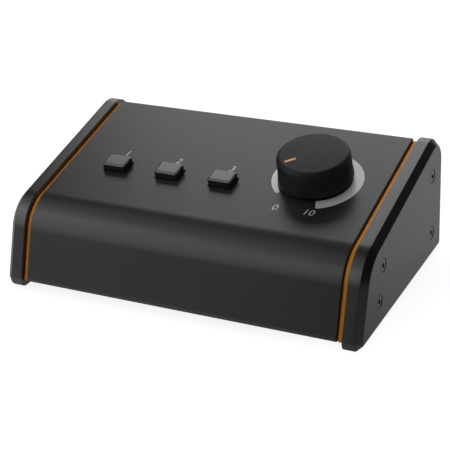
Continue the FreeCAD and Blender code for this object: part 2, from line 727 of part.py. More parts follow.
def volume_knob():
    """Flared skirt, rounded rim, hollow underside with a ribbed hub."""
    skirt = [
        (0, KNOB_GAP),
        (KNOB_FOOT_R, KNOB_GAP),
        (KNOB_RIM_R + (KNOB_FOOT_R - KNOB_RIM_R) / 3, KNOB_GAP + KNOB_FLARE_H),
        (KNOB_RIM_R, KNOB_TOP),
        (0, KNOB_TOP),
    ]
    body = turned(skirt, [0, 0, 0, KNOB_EDGE_R, 0])
    roof = KNOB_TOP - KNOB_ROOF
    inside = KNOB_RIM_R - KNOB_WALL
    hollow = rod(inside, 0, 0, KNOB_GAP - CUT, roof)
    hub = rod(KNOB_HUB_R, 0, 0, KNOB_HUB_FOOT, roof + CUT)
    hollow = hollow.cut(hub)
    for i in range(KNOB_RIBS):
        reach = inside - KNOB_HUB_R + 2 * CUT
        middle = (inside + KNOB_HUB_R) / 2
        rib = block(middle, 0, roof - KNOB_RIB_H, roof + CUT, reach, KNOB_RIB_T)
        rib.rotate(ORIGIN, Z_AXIS, 360 * i / KNOB_RIBS)
        hollow = hollow.cut(rib)
    bore = d_bar(SHAFT_R + HUB_GAP, SHAFT_FLAT + HUB_GAP, KNOB_HUB_FOOT - CUT, HUB_TOP)
    return at_knob(body.cut([hollow, bore, pointer_bar(CUT)]))


def pot_bushing():
    """Threaded bush, with a collar behind the panel that the housing is riveted to."""
    low = -SHELL_T
    bore = rod(SHAFT_R + SHAFT_GAP, 0, 0, low - CUT, BUSH_PROUD + CUT)
    return at_knob(rod(BUSH_R, 0, 0, low, BUSH_PROUD).cut(bore))


def pot_housing():
    """Square front plate and round can, hollow for the wiper discs, with a locating pin."""
    front = -SHELL_T
    back = front - POT_DEPTH
    plate = block(0, 0, front - POT_PLATE_T, front, POT_PLATE, POT_PLATE)
    can = rod(POT_R, 0, 0, back, front - POT_PLATE_T)
    key = rod(KEY_R, 0, KEY_OUT, front, -HOLE_GAP)
    room = rod(ROTOR_R + ROTOR_GAP, 0, 0, back + POT_WALL, front - POT_PLATE_T)
    shaft_hole = rod(SHAFT_R + SHAFT_GAP, 0, 0, front - POT_PLATE_T - CUT, front + CUT)
    return at_knob(plate.fuse([can, key]).cut([room, shaft_hole]))


def rotor_heights():
    room_low = -SHELL_T - POT_DEPTH + POT_WALL
    room_high = -SHELL_T - POT_PLATE_T
    step = (room_high - room_low) / ROTOR_COUNT
    return [room_low + step * (i + 0.5) - ROTOR_T / 2 for i in range(ROTOR_COUNT)]


def pot_rotors():
    """Wiper discs carried by the shaft."""
    discs = []
    for low in rotor_heights():
        disc = rod(ROTOR_R, 0, 0, low, low + ROTOR_T)
        discs.append(at_knob(disc.cut(rod(SHAFT_R, 0, 0, low - CUT, low + ROTOR_T + CUT))))
    return discs


def pot_shaft():
    low = rotor_heights()[0] - 0.3
    full = rod(SHAFT_R, 0, 0, low, KNOB_HUB_FOOT - HUB_GAP)
    flatted = d_bar(SHAFT_R, SHAFT_FLAT, KNOB_HUB_FOOT - HUB_GAP, HUB_TOP)
    return at_knob(full.fuse(flatted))


def pot_washer():
    ring = rod(WASHER_R, 0, 0, 0, WASHER_T)
    return at_knob(ring.cut(rod(BUSH_R + BUSH_GAP, 0, 0, -CUT, WASHER_T + CUT)))


def pot_nut():
    nut = hexagon(NUT_AF, (0, 0, WASHER_T), Z_AXIS, NUT_H)
    return at_knob(nut.cut(rod(BUSH_R + THREAD_GAP, 0, 0, 0, WASHER_T + NUT_H + CUT)))


def pot_terminals():
    """Two rows of tags, one lying on each face of the control board."""
    tags = []
    for z_low in (BOARD_H, BOARD_H - BOARD_T - TERMINAL_T):
        for i in range(TERMINAL_COUNT):
            x = (i - (TERMINAL_COUNT - 1) / 2) * TERMINAL_PITCH
            reach = POT_R + TERMINAL_LEN
            tag = block(x, -reach / 2, z_low, z_low + TERMINAL_T, TERMINAL_W, reach)
            tags.append(at_knob(tag.cut(rod(POT_R, 0, 0, z_low - CUT, z_low + CUT + TERMINAL_T))))
    return tags


# ---------------------------------------------------------------- push buttons
def cap_ring(in_w, in_d, z):
    """The cap's rounded outline moved in by the two distances, at height z."""
    half_w = CAP_W / 2 - in_w
    half_d = CAP_D / 2 - in_d
    corners = [(-half_w, -half_d), (-half_w, half_d), (half_w, half_d), (half_w, -half_d)]
    edges = path_edges(corners, [CAP_CORNER_R] * 4, True, lambda p: FreeCAD.Vector(p[0], p[1], z))
    return Part.Wire(edges)


def cap(x, s):
    """Oblong key top: bevelled all round, hollow below, with a post for the stem."""
    low = -SHELL_T - CAP_SKIRT
    shoulder = CAP_TOP - CAP_BEVEL_DROP
    skirt = Part.Face(cap_ring(0, 0, low)).extrude(Z_AXIS * (shoulder - low))
    rings = [cap_ring(0, 0, shoulder), cap_ring(CAP_BEVEL_W, CAP_BEVEL_D, CAP_TOP)]
    body = skirt.fuse(Part.makeLoft(rings, True, True)).removeSplitter()
    roof = CAP_TOP - CAP_ROOF
    hollow = block(0, 0, low - CUT, roof, CAP_W - 2 * CAP_WALL, CAP_D - 2 * CAP_WALL)
    hollow = hollow.cut(block(0, 0, low, roof + CUT, CAP_POST, CAP_POST))
    socket = block(0, 0, low - CUT, low + STEM_IN_CAP, STEM, STEM)
    body = body.cut([hollow, socket])
    body.translate(FreeCAD.Vector(x, s, 0))
    return on_panel(body)


SWITCH_TOP = BOARD_H + SWITCH_H
CAP_LOW = -SHELL_T - CAP_SKIRT
STEM_FLANGE_TOP = SWITCH_TOP - SWITCH_GUIDE - STEM_TOP_GAP
STEM_FLANGE_LOW = STEM_FLANGE_TOP - STEM_FLANGE_T
SPRING_LOW = BOARD_H + SWITCH_FLOOR


def switch_housing(x, s):
    """Square housing: a guide hole for the stem above a chamber for flange and spring."""
    body = block(x, s, BOARD_H, SWITCH_TOP, SWITCH_SIDE, SWITCH_SIDE)
    upright = [e for e in body.Edges if abs(e.Vertexes[0].Z - e.Vertexes[-1].Z) > 1]
    body = body.makeChamfer(0.4, upright)
    chamber = SWITCH_SIDE - 2 * SWITCH_WALL
    room = block(x, s, SPRING_LOW, SWITCH_TOP - SWITCH_GUIDE, chamber, chamber)
    guide = STEM + 2 * STEM_GAP
    return on_panel(body.cut([room, block(x, s, SPRING_LOW, SWITCH_TOP + CUT, guide, guide)]))


def switch_plunger(x, s):
    stem = block(x, s, STEM_FLANGE_LOW, CAP_LOW + STEM_IN_CAP, STEM, STEM)
    flange = block(x, s, STEM_FLANGE_LOW, STEM_FLANGE_TOP, STEM_FLANGE, STEM_FLANGE)
    return on_panel(stem.fuse(flange))


def return_spring(x, s):
    """Six-sided wire wound in short mitred runs between the housing's floor and the flange."""
    low = SPRING_LOW + SPRING_WIRE_R + SPRING_GAP
    high = STEM_FLANGE_LOW - SPRING_WIRE_R - SPRING_GAP
    count = SPRING_TURNS * SPRING_RUNS
    path = []
    for i in range(count + 1):
        angle = 2 * math.pi * i / SPRING_RUNS
        rise = low + (high - low) * i / count
        path.append(FreeCAD.Vector(SPRING_R * math.cos(angle), SPRING_R * math.sin(angle), rise))
    along = (path[1] - path[0]).normalize()
    out = Z_AXIS.cross(along).normalize()
    up = along.cross(out)
    ring = []
    for i in range(6):
        angle = math.radians(60 * i)
        ring.append(path[0] + (out * math.cos(angle) + up * math.sin(angle)) * SPRING_WIRE_R)
    section = Part.makePolygon(ring + ring[:1])
    coil = Part.makePolygon(path).makePipeShell([section], True, False, 1)
    coil.translate(FreeCAD.Vector(x, s, 0))
    return on_panel(coil)


# ---------------------------------------------------------------- boards inside
def standoff_places():
    return [(side * STANDOFF_X, s) for side in (-1, 1) for s in STANDOFF_S]


def control_standoffs():
    """Pillars pressed into the underside of the panel."""
    posts = []
    for x, s in standoff_places():
        post = rod(STANDOFF_R, x, s, BOARD_H, -SHELL_T)
        tap = rod(SCREW_R + THREAD_GAP, x, s, BOARD_H - CUT, BOARD_H + STANDOFF_TAP)
        posts.append(on_panel(post.cut(tap)))
    return posts


def control_board():
    low = BOARD_H - BOARD_T
    board = box((-BOARD_X, BOARD_X), BOARD_S, (low, BOARD_H))
    tools = [rod(POT_R + BOARD_POT_GAP, KNOB_X, KNOB_S, low - CUT, BOARD_H + CUT)]
    notch = (KNOB_X - POT_R - BOARD_POT_GAP, KNOB_X + POT_R + BOARD_POT_GAP)
    tools.append(box(notch, (KNOB_S, BOARD_S[1] + CUT), (low - CUT, BOARD_H + CUT)))
    for x, s in standoff_places():
        tools.append(rod(SCREW_R + HOLE_GAP, x, s, low - CUT, BOARD_H + CUT))
    return on_panel(board.cut(tools))


def control_board_screws():
    screws = []
    seat = BOARD_H - BOARD_T
    for x, s in standoff_places():
        screw = turned_to(pan_screw(BOARD_T + BOARD_SCREW_LEN), Z_AXIS * -1, (x, s, seat))
        screws.append(on_panel(screw))
    return screws


def pad_resistors():
    bodies = []
    for i in range(RESISTOR_COUNT):
        start = (RESISTOR_X + RESISTOR_PITCH * i, RESISTOR_S, BOARD_H + RESISTOR_R)
        bodies.append(on_panel(rod_along(RESISTOR_R, start, Y_AXIS, RESISTOR_LEN)))
    return bodies


BODY_BACK = REAR_IN - SOCKET_DEPTH_IN


def connector_board():
    """Upright board that the rear sockets are soldered to, bored for the tips of jack plugs."""
    y = (BODY_BACK - BOARD_T, BODY_BACK)
    board = box((-CONNECTOR_BOARD_X, CONNECTOR_BOARD_X), y, CONNECTOR_BOARD_Z)
    passes = []
    for x in INPUT_X:
        passes.append(rod_along(JACK_PASS_R, (x, y[0] - CUT, SOCKET_Z), Y_AXIS, BOARD_T + 2 * CUT))
    return board.cut(passes)


def header_low():
    """Foot of the header below the control board, in the drafting frame."""
    foot = FreeCAD.Vector(0, HEADER_S, BOARD_H - BOARD_T - HEADER_H)
    return PANEL.multVec(foot)


def ribbon_headers():
    back = BODY_BACK - BOARD_T
    half = HEADER_T / 2
    upright = (HEADER_LOW_Z - half, HEADER_LOW_Z + half)
    rear = box((-HEADER_W / 2, HEADER_W / 2), (back - HEADER_H, back), upright)
    top = BOARD_H - BOARD_T
    front = block(0, HEADER_S, top - HEADER_H, top, HEADER_W, HEADER_T)
    return [rear, on_panel(front)]


def ribbon_cable():
    """Flat cable from the rear header forward, then up to the header of the control board."""
    foot = header_low()
    start = (BODY_BACK - BOARD_T - HEADER_H, HEADER_LOW_Z)
    down = (math.sin(SLOPE), -math.cos(SLOPE))
    knee = crossing(start, (1, 0), (foot.y, foot.z), down)
    half = RIBBON_T / 2
    across = (math.cos(SLOPE), math.sin(SLOPE))
    end = (foot.y, foot.z)
    outline = [
        add(start, (0, -half)),
        crossing(add(start, (0, -half)), (1, 0), add(end, scaled(across, -half)), down),
        add(end, scaled(across, -half)),
    ]
    return bent_sheet(outline, [0, RIBBON_R, 0], RIBBON_T, -RIBBON_W / 2, RIBBON_W / 2)


# ---------------------------------------------------------------- rear connectors
FLANGE_FACE = REAR_OUT + FLANGE_T


def flange(x):
    """Rectangular connector face with round corners and two screw holes."""
    half_w = FLANGE_W / 2
    half_h = FLANGE_H / 2
    corners = [(-half_w, -half_h), (-half_w, half_h), (half_w, half_h), (half_w, -half_h)]
    edges = path_edges(corners, [FLANGE_R] * 4, True, side_point(0))
    plate = Part.Face(Part.Wire(edges)).extrude(X_AXIS * FLANGE_T)
    plate.rotate(ORIGIN, Z_AXIS, 90)
    plate.translate(FreeCAD.Vector(x, REAR_OUT, SOCKET_Z))
    holes = []
    for dx, dz in flange_screws():
        start = (x + dx, REAR_OUT - CUT, SOCKET_Z + dz)
        holes.append(rod_along(SCREW_R + HOLE_GAP, start, Y_AXIS, FLANGE_T + 2 * CUT))
    return plate.cut(holes)


def into(x, radius, front, depth, dx=0.0, dz=0.0):
    """A cylinder that runs forward into the casing from a rear face."""
    return rod_along(radius, (x + dx, front, SOCKET_Z + dz), Y_AXIS * -1, depth)


def barrel(x):
    return flange(x).fuse(into(x, BARREL_R, REAR_OUT, REAR_OUT - BODY_BACK))


def input_shell(x):
    """Open cup round the insert, bored through for the tip of a jack plug."""
    cup = into(x, INPUT_CUP_R, FLANGE_FACE + CUT, INPUT_CUP_DEPTH + CUT)
    tip = into(x, JACK_PASS_R, FLANGE_FACE, FLANGE_FACE - BODY_BACK + CUT)
    return barrel(x).cut([cup, tip])


def ring_places(radius):
    angles = [math.radians(a) for a in CONTACT_DEG]
    return [(radius * math.cos(a), radius * math.sin(a)) for a in angles]


def input_insert(x):
    """Round block with three contact holes about the jack's bore."""
    front = FLANGE_FACE - INSERT_SHORT
    depth = INPUT_CUP_DEPTH - INSERT_SHORT
    insert = into(x, INSERT_R, front, depth)
    tools = [into(x, JACK_R, front + CUT, depth + 2 * CUT)]
    for dx, dz in ring_places(CONTACT_RING):
        tools.append(into(x, CONTACT_R, front + CUT, CONTACT_DEPTH + CUT, dx, dz))
    return insert.cut(tools)


def output_shell(x):
    depth = FLANGE_FACE - BODY_BACK
    return barrel(x).cut(into(x, OUTPUT_CUP_R, FLANGE_FACE + CUT, depth + 2 * CUT))


def output_insert(x):
    """Disc at the bottom of the cup that holds the three pins."""
    front = FLANGE_FACE - OUTPUT_CUP_DEPTH
    depth = front - BODY_BACK
    holes = []
    for dx, dz in ring_places(PIN_RING):
        holes.append(into(x, PIN_R, front + CUT, depth + 2 * CUT, dx, dz))
    return into(x, OUTPUT_CUP_R, front, depth).cut(holes)


def output_pins(x):
    tip = FLANGE_FACE - PIN_TIP_BACK
    pins = []
    for dx, dz in ring_places(PIN_RING):
        pin = into(x, PIN_R, tip, tip - BODY_BACK, dx, dz)
        end = [e for e in pin.Edges if e.CenterOfMass.y > tip - 1e-6]
        pins.append(pin.makeChamfer(PIN_BEVEL, end))
    return pins


def connector_screws():
    screws = []
    for x in INPUT_X + OUTPUT_X:
        for dx, dz in flange_screws():
            base = (x + dx, FLANGE_FACE, SOCKET_Z + dz)
            screws.append(turned_to(pan_screw(FLANGE_T + REAR_T), Y_AXIS, base))
    return screws


def mini_jack_housing():
    body = box(
        (MINI_X - MINI_BODY_W / 2, MINI_X + MINI_BODY_W / 2),
        (BODY_BACK, REAR_IN),
        (SOCKET_Z - MINI_BODY_H / 2, SOCKET_Z + MINI_BODY_H / 2),
    )
    return body.cut(into(MINI_X, MINI_R, REAR_IN + CUT, MINI_BORE + CUT))


def mini_jack_bushing():
    front = REAR_OUT + MINI_BUSH_PROUD
    tube = into(MINI_X, MINI_BUSH_R, front, front - REAR_IN)
    return tube.cut(into(MINI_X, MINI_R, front + CUT, front - REAR_IN + 2 * CUT))


def mini_jack_nut():
    ring = into(MINI_X, MINI_NUT_R, REAR_OUT + MINI_NUT_H, MINI_NUT_H)
    edge = [e for e in ring.Edges if e.CenterOfMass.y > REAR_OUT + MINI_NUT_H - 1e-6]
    ring = ring.makeChamfer(0.4, edge)
    return ring.cut(into(MINI_X, MINI_BUSH_R + THREAD_GAP, REAR_OUT + MINI_NUT_H + CUT, MINI_NUT_H + 2 * CUT))


# ---------------------------------------------------------------- output
def to_frame(shape):
    placed = shape.copy()
    placed.translate(FreeCAD.Vector(0, -MID_Y, FOOT_PROUD))
    return placed


def save(name, solids):
    """One STEP file for a node: one solid, or a group of separate solids."""
    solids = solids if isinstance(solids, (list, tuple)) else [solids]
    parts = []
    for shape in solids:
        parts.extend(to_frame(shape).Solids)
    shape = parts[0] if len(parts) == 1 else Part.makeCompound(parts)
    shape.exportStep("parts/" + name + ".step")


def main():
    os.makedirs("parts", exist_ok=True)
    cheek_right, cheek_left = both_sides(cheek())
    trim_right, trim_left = both_sides(trim_plate())
    screws_right = cheek_screws()
    save("top_shell", top_shell())
    save("base_tray", base_tray())
    save("rear_panel", rear_panel())
    save("right_cheek", cheek_right)
    save("left_cheek", cheek_left)
    save("right_trim_plate", trim_right)
    save("left_trim_plate", trim_left)
    save("right_cheek_screws", screws_right)
    save("left_cheek_screws", [both_sides(s)[1] for s in screws_right])
    save("base_screws", base_screws())
    save("lip_screws", lip_screws())
    save("rubber_feet", rubber_feet())
    save("volume_knob", volume_knob())
    save("knob_pointer", at_knob(pointer_bar(0.0)))
    save("pot_shaft", pot_shaft())
    save("pot_rotors", pot_rotors())
    save("pot_housing", pot_housing())
    save("pot_bushing", pot_bushing())
    save("pot_washer", pot_washer())
    save("pot_nut", pot_nut())
    save("pot_terminals", pot_terminals())
    for number, (x, s) in enumerate(BUTTONS, 1):
        save("button_cap_%d" % number, cap(x, s))
        save("switch_plunger_%d" % number, switch_plunger(x, s))
        save("switch_housing_%d" % number, switch_housing(x, s))
        save("return_spring_%d" % number, return_spring(x, s))
    save("control_standoffs", control_standoffs())
    save("control_board", control_board())
    save("control_board_screws", control_board_screws())
    save("pad_resistors", pad_resistors())
    save("connector_board", connector_board())
    save("ribbon_headers", ribbon_headers())
    save("ribbon_cable", ribbon_cable())
    for side, x in zip(("left", "right"), INPUT_X):
        save("input_shell_" + side, input_shell(x))
        save("input_insert_" + side, input_insert(x))
    for side, x in zip(("left", "right"), OUTPUT_X):
        save("output_shell_" + side, output_shell(x))
        save("output_insert_" + side, output_insert(x))
        save("output_pins_" + side, output_pins(x))
    save("connector_screws", connector_screws())
    save("mini_jack_housing", mini_jack_housing())
    save("mini_jack_bushing", mini_jack_bushing())
    save("mini_jack_nut", mini_jack_nut())


main()
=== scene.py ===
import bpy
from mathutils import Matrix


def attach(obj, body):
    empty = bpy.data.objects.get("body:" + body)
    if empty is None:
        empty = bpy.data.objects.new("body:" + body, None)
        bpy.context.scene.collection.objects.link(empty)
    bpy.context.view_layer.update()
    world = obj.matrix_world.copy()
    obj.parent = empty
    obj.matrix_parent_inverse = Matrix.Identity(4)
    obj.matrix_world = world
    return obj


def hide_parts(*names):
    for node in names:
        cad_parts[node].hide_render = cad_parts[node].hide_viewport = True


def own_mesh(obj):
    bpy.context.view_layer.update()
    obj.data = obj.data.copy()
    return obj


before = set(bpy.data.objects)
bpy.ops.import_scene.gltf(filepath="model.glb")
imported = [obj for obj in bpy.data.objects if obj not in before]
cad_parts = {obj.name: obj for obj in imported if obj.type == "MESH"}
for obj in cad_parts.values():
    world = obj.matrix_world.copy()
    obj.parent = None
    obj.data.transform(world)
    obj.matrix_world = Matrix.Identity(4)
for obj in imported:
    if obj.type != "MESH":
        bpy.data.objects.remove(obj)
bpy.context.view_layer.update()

import math

import bmesh
import bpy
import numpy as np
from bpy.props import FloatProperty, FloatVectorProperty, IntProperty, PointerProperty
from mathutils import Matrix, Vector

bl_info = {
    "name": "Desktop Volume Box",
    "version": (1, 0, 0),
    "blender": (4, 5, 0),
    "location": "3D View > Sidebar > Volume Box",
    "description": "Builds the skins, print, finishes and studio of a desktop volume box",
    "category": "Object",
}

MM = 0.001

# Sizes in millimetres. Side outline of the cheeks: (depth, height) from the sharp front bottom
# corner, clockwise. All other outlines are inset from it.
CHEEK_LINE = np.array([(0.0, 0.0), (10.5, 32.8), (96.0, 52.696), (96.0, 0.0)])
CHEEK_RADII = np.array([3.5, 17.0, 10.5, 3.5])
CHEEK_IN = 67.8
CHEEK_OUT = 75.0
CHAMFER = 2.5
SLOPE = math.radians(13.1)
SHELL_INSET = 0.5
SHELL_END = 65.4
SHELL_BACK = 87.4
SHELL_FOOT = 2.8
SHELL_T = 1.5
FOLD_R = 1.7
BEND_R = 17.8
REAR_LIP = 8.6
BASE_LIP = 12.0
SCREW_FROM_BACK = 5.2    # lip screws, below the back fold
SCREW_FROM_FRONT = 7.8   # lip screws, behind the front fold
TRIM_INSET = 1.7
TRIM_FOOT = 2.6
TRIM_SHORT = 0.1         # trim plates end before the shell's back
TRIM_RADII = (1.0, 15.3, 1.3, 1.0)
LEAN_HALF = (math.pi / 2 - math.atan2(10.5, 32.8)) / 2
MID_Y = (CHEEK_RADII[0] / math.tan(LEAN_HALF) - CHEEK_RADII[0] + 96.0) / 2
FOOT_PROUD = 1.0

# Places on the panel: millimetres across and up the slope.
KNOB_AT = (38.3, 42.505)
DIAL_AT = (38.6, 42.3)
BUTTON_AT = [(-43.6, 32.505), (-20.2012, 32.505), (3.1977, 32.505)]
FIGURES = [
    ("1", -43.8, 41.6),
    ("2", -20.2, 41.6),
    ("3", 3.3, 41.6),
    ("0", 29.6, 22.4),
    ("10", 43.6, 22.4),
]
CAP_HALF = np.array([4.9, 3.6])
CAP_CORNER_R = 0.5
# Height of each ring of a cap over the panel, and how far it lies in, across and along.
CAP_RINGS = ((-1.9, 0.0, 0.0), (2.75, 0.0, 0.0), (3.08, 0.4, 0.45), (3.2, 0.75, 0.9))
CAP_GAP = 0.35           # round each cap, in the shell
PRINT_LOW = -0.03
PRINT_HIGH = 0.035

# Places in the side view, (depth, height), and the lip screws across the width.
CHEEK_SCREWS = [(21.377, 11.8), (25.475, 24.6), (82.5, 11.8), (82.5, 36.3)]
SCREW_ROW = (-42.0, 0.0, 42.0)
SCREW_HOLE_R = 1.65
SCREW_STEPS = 32
SHAFT_HOLE_R = 3.6
PIN_HOLE_R = 1.1
PIN_FROM_SHAFT = 7.2

METAL_SHARE = 0.8        # of shell, tray, rear and caps
CHEEK_METAL_SHARE = 0.92
CHEEK_GLOSS = 0.02       # less rough than the shell
BUMP_DEPTH = 0.0001      # metres

# Fades of the stage. The floor's runs in metres towards the front right, the others in parts
# of a reflected ray's direction: to the left, to the back and up from the horizon.
FLOOR_FADE = (0.119, 0.045)
LEFT_FADE = (-0.6, -1.0)
BACK_FADE = (0.3, 0.8)
HORIZON_FADE = (0.16, 0.0)

# Pieces that keep their own solid, each group with the values of its finish.
CARRIED = (
    (
        "right_cheek_screws left_cheek_screws base_screws lip_screws connector_screws",
        ("Black screws", "blasted", (0.16, 0.16, 0.16), 0.22, 1.0, 12000.0, 0.15),
    ),
    ("rubber_feet", ("Foot rubber", "moulded", (0.018, 0.018, 0.018), 0.75, 0.0, 2500.0, 0.2, 0.3)),
    ("pot_shaft", ("Turned shaft", "blasted", (0.62, 0.62, 0.62), 0.28, 1.0, 6000.0)),
    ("pot_housing pot_washer", ("Pressed metal", "blasted", (0.52, 0.52, 0.52), 0.35, 1.0)),
    (
        "pot_bushing pot_nut control_standoffs",
        ("Nickel plate", "blasted", (0.62, 0.58, 0.5), 0.25, 1.0),
    ),
    (
        "pot_rotors switch_plunger_1 switch_plunger_2 switch_plunger_3",
        ("Pale plastic", "moulded", (0.6, 0.59, 0.54), 0.5),
    ),
    (
        "pot_terminals control_board_screws return_spring_1 return_spring_2 return_spring_3",
        ("Tinned metal", "blasted", (0.6, 0.6, 0.58), 0.3, 1.0, 7000.0),
    ),
    (
        "switch_housing_1 switch_housing_2 switch_housing_3 ribbon_headers mini_jack_housing",
        ("Housing plastic", "moulded", (0.022, 0.022, 0.024), 0.45),
    ),
    (
        "input_shell_left input_shell_right output_shell_left output_shell_right",
        ("Socket plastic", "moulded", (0.02, 0.02, 0.021), 0.38, 0.0, 4500.0, 0.12, 0.08),
    ),
    (
        "input_insert_left input_insert_right output_insert_left output_insert_right",
        ("Insert plastic", "moulded", (0.045, 0.045, 0.05), 0.45, 0.0, 4500.0),
    ),
    (
        "output_pins_left output_pins_right",
        ("Silvered contacts", "blasted", (0.72, 0.7, 0.64), 0.22, 1.0, 8000.0),
    ),
    (
        "mini_jack_bushing mini_jack_nut",
        ("Bright nickel", "blasted", (0.66, 0.66, 0.67), 0.16, 1.0, 5000.0, 0.05),
    ),
    (
        "control_board connector_board",
        ("Board mask", "moulded", (0.02, 0.12, 0.05), 0.35, 0.0, 3000.0, 0.15, 0.05),
    ),
    ("pad_resistors", ("Resistor lacquer", "moulded", (0.16, 0.34, 0.5), 0.25, 0.0, 3000.0)),
    ("ribbon_cable", ("Ribbon sheath", "moulded", (0.3, 0.3, 0.32), 0.4, 0.0, 2500.0)),
)


# ------------------------------------------------------------------ plane outlines
def inset(points, distance):
    """A closed clockwise outline with every side moved inwards: each side is shifted along its
    inward normal, and neighbours are intersected to give the new corners."""
    ahead = np.roll(points, -1, axis=0) - points
    ahead /= np.linalg.norm(ahead, axis=1)[:, None]
    base = points + np.stack([ahead[:, 1], -ahead[:, 0]], 1) * distance
    before, p = np.roll(ahead, 1, axis=0), np.roll(base, 1, axis=0)
    det = before[:, 0] * ahead[:, 1] - before[:, 1] * ahead[:, 0]
    gap = base - p
    t = (gap[:, 0] * ahead[:, 1] - gap[:, 1] * ahead[:, 0]) / det
    return p + before * t[:, None]


def crossing(p, d, q, e):
    """Where the line through p along d meets the line through q along e."""
    det = d[0] * e[1] - d[1] * e[0]
    t = ((q[0] - p[0]) * e[1] - (q[1] - p[1]) * e[0]) / det
    return np.array([p[0] + d[0] * t, p[1] + d[1] * t])


def rounded(points, radii, steps, closed=True):
    """An outline whose corners are circular arcs tangent to both sides. Each corner gives
    steps + 1 points on a circle of its radius, whose centre lies on the corner's bisector."""
    points = np.asarray(points, float)
    count = len(points)
    runs = []
    for i in range(count):
        radius = radii[i]
        if radius <= 0 or (not closed and i in (0, count - 1)):
            runs.append(points[i][None])
            continue
        back = points[i - 1] - points[i]
        ahead = points[(i + 1) % count] - points[i]
        back, ahead = back / np.linalg.norm(back), ahead / np.linalg.norm(ahead)
        half = math.acos(float(back @ ahead)) / 2
        middle = (back + ahead) / np.linalg.norm(back + ahead)
        centre = points[i] + middle * radius / math.sin(half)
        start = points[i] + back * radius / math.tan(half) - centre
        end = points[i] + ahead * radius / math.tan(half) - centre
        sweep = math.pi - 2 * half
        t = np.linspace(0, 1, steps + 1)[:, None]
        arc = np.sin((1 - t) * sweep) * start + np.sin(t * sweep) * end
        runs.append(centre + arc / math.sin(sweep))
    return np.concatenate(runs)


SHELL_LINE = inset(CHEEK_LINE, SHELL_INSET)
BEND = SHELL_LINE[1]
ALONG = np.array([math.cos(SLOPE), math.sin(SLOPE)])
OUT = np.array([-math.sin(SLOPE), math.cos(SLOPE)])
PANEL_NORMAL = (0.0, float(OUT[0]), float(OUT[1]))


def in_frame(x, y, z):
    """Drafting millimetres to metres in the row's frame, as an (n, 3) array."""
    x, y, z = np.broadcast_arrays(np.asarray(x, float), y, z)
    return np.stack([x, y - MID_Y, z + FOOT_PROUD], -1) * MM


def on_panel(x, s, h):
    """Millimetres across, up and out of the sloping panel to metres in the row's frame."""
    s, h = np.asarray(s, float), np.asarray(h, float)
    y = BEND[0] + s * ALONG[0] + h * OUT[0]
    z = BEND[1] + s * ALONG[1] + h * OUT[1]
    return in_frame(x, y, z)


# ------------------------------------------------------------------ mesh builders
def new_object(name, verts, faces, smooth=True):
    """A mesh object at the origin from points in the row's frame, faces turned outwards."""
    mesh = bpy.data.meshes.new(name)
    mesh.from_pydata(np.asarray(verts, float).tolist(), [], faces)
    work = bmesh.new()
    work.from_mesh(mesh)
    bmesh.ops.recalc_face_normals(work, faces=work.faces)
    work.to_mesh(mesh)
    work.free()
    mesh.polygons.foreach_set("use_smooth", np.full(len(mesh.polygons), smooth))
    piece = bpy.data.objects.new(name, mesh)
    bpy.context.scene.collection.objects.link(piece)
    return piece


def grid_faces(rows, columns, wrap_rows=False, wrap_columns=False, start=0):
    """Quads between neighbouring rows of a grid of points numbered row by row."""
    i = np.arange(rows if wrap_rows else rows - 1)
    j = np.arange(columns if wrap_columns else columns - 1)
    i, j = np.meshgrid(i, j, indexing="ij")
    i2, j2 = (i + 1) % rows, (j + 1) % columns
    quads = np.stack([i * columns + j, i * columns + j2, i2 * columns + j2, i2 * columns + j], -1)
    return (quads.reshape(-1, 4) + start).tolist()


def stacked_rings(rings):
    """A closed body from rings of equal length: quads between neighbours, a flat lid on each
    end. Point (i, j) is point j of ring i."""
    rings = np.asarray(rings, float)
    rows, columns = rings.shape[:2]
    faces = grid_faces(rows, columns, wrap_columns=True)
    faces.append(list(range(columns))[::-1])
    faces.append(list(range((rows - 1) * columns, rows * columns)))
    return rings.reshape(-1, 3), faces


def revolved(profile, steps, place):
    """A closed body of revolution: point (i, j) is profile point i turned by 2 pi j / steps.
    Profile points on the axis become one pole each."""
    profile = np.asarray(profile, float)
    angle = np.linspace(0, 2 * math.pi, steps, endpoint=False)
    a = profile[0, 0] == 0
    b = profile[-1, 0] == 0
    ring = profile[1 if a else 0 : -1 if b else None]
    x = ring[:, 0, None] * np.cos(angle)
    y = ring[:, 0, None] * np.sin(angle)
    z = np.repeat(ring[:, 1, None], steps, 1)
    verts = place(x, y, z).reshape(-1, 3)
    faces = grid_faces(len(ring), steps, wrap_columns=True)
    j = np.arange(steps)
    j2 = (j + 1) % steps
    if a:
        verts = np.concatenate([verts, place(0.0, 0.0, profile[0, 1]).reshape(1, 3)])
        faces += np.stack([j2, j, np.full(steps, len(verts) - 1)], 1).tolist()
    if b:
        verts = np.concatenate([verts, place(0.0, 0.0, profile[-1, 1]).reshape(1, 3)])
        last = (len(ring) - 1) * steps
        faces += np.stack([last + j, last + j2, np.full(steps, len(verts) - 1)], 1).tolist()
    return verts, faces


def disc_rod(radius, start, end, steps=40):
    """A plain cylinder between two points in the row's frame, used as a cutter."""
    start, end = np.asarray(start, float), np.asarray(end, float)
    axis = (end - start) / np.linalg.norm(end - start)
    side = np.cross(axis, [1.0, 0.0, 0.0] if abs(axis[0]) < 0.9 else [0.0, 1.0, 0.0])
    side /= np.linalg.norm(side)
    other = np.cross(axis, side)
    angle = np.linspace(0, 2 * math.pi, steps, endpoint=False)[:, None]
    ring = (np.cos(angle) * side + np.sin(angle) * other) * radius * MM
    return stacked_rings([start + ring, end + ring])


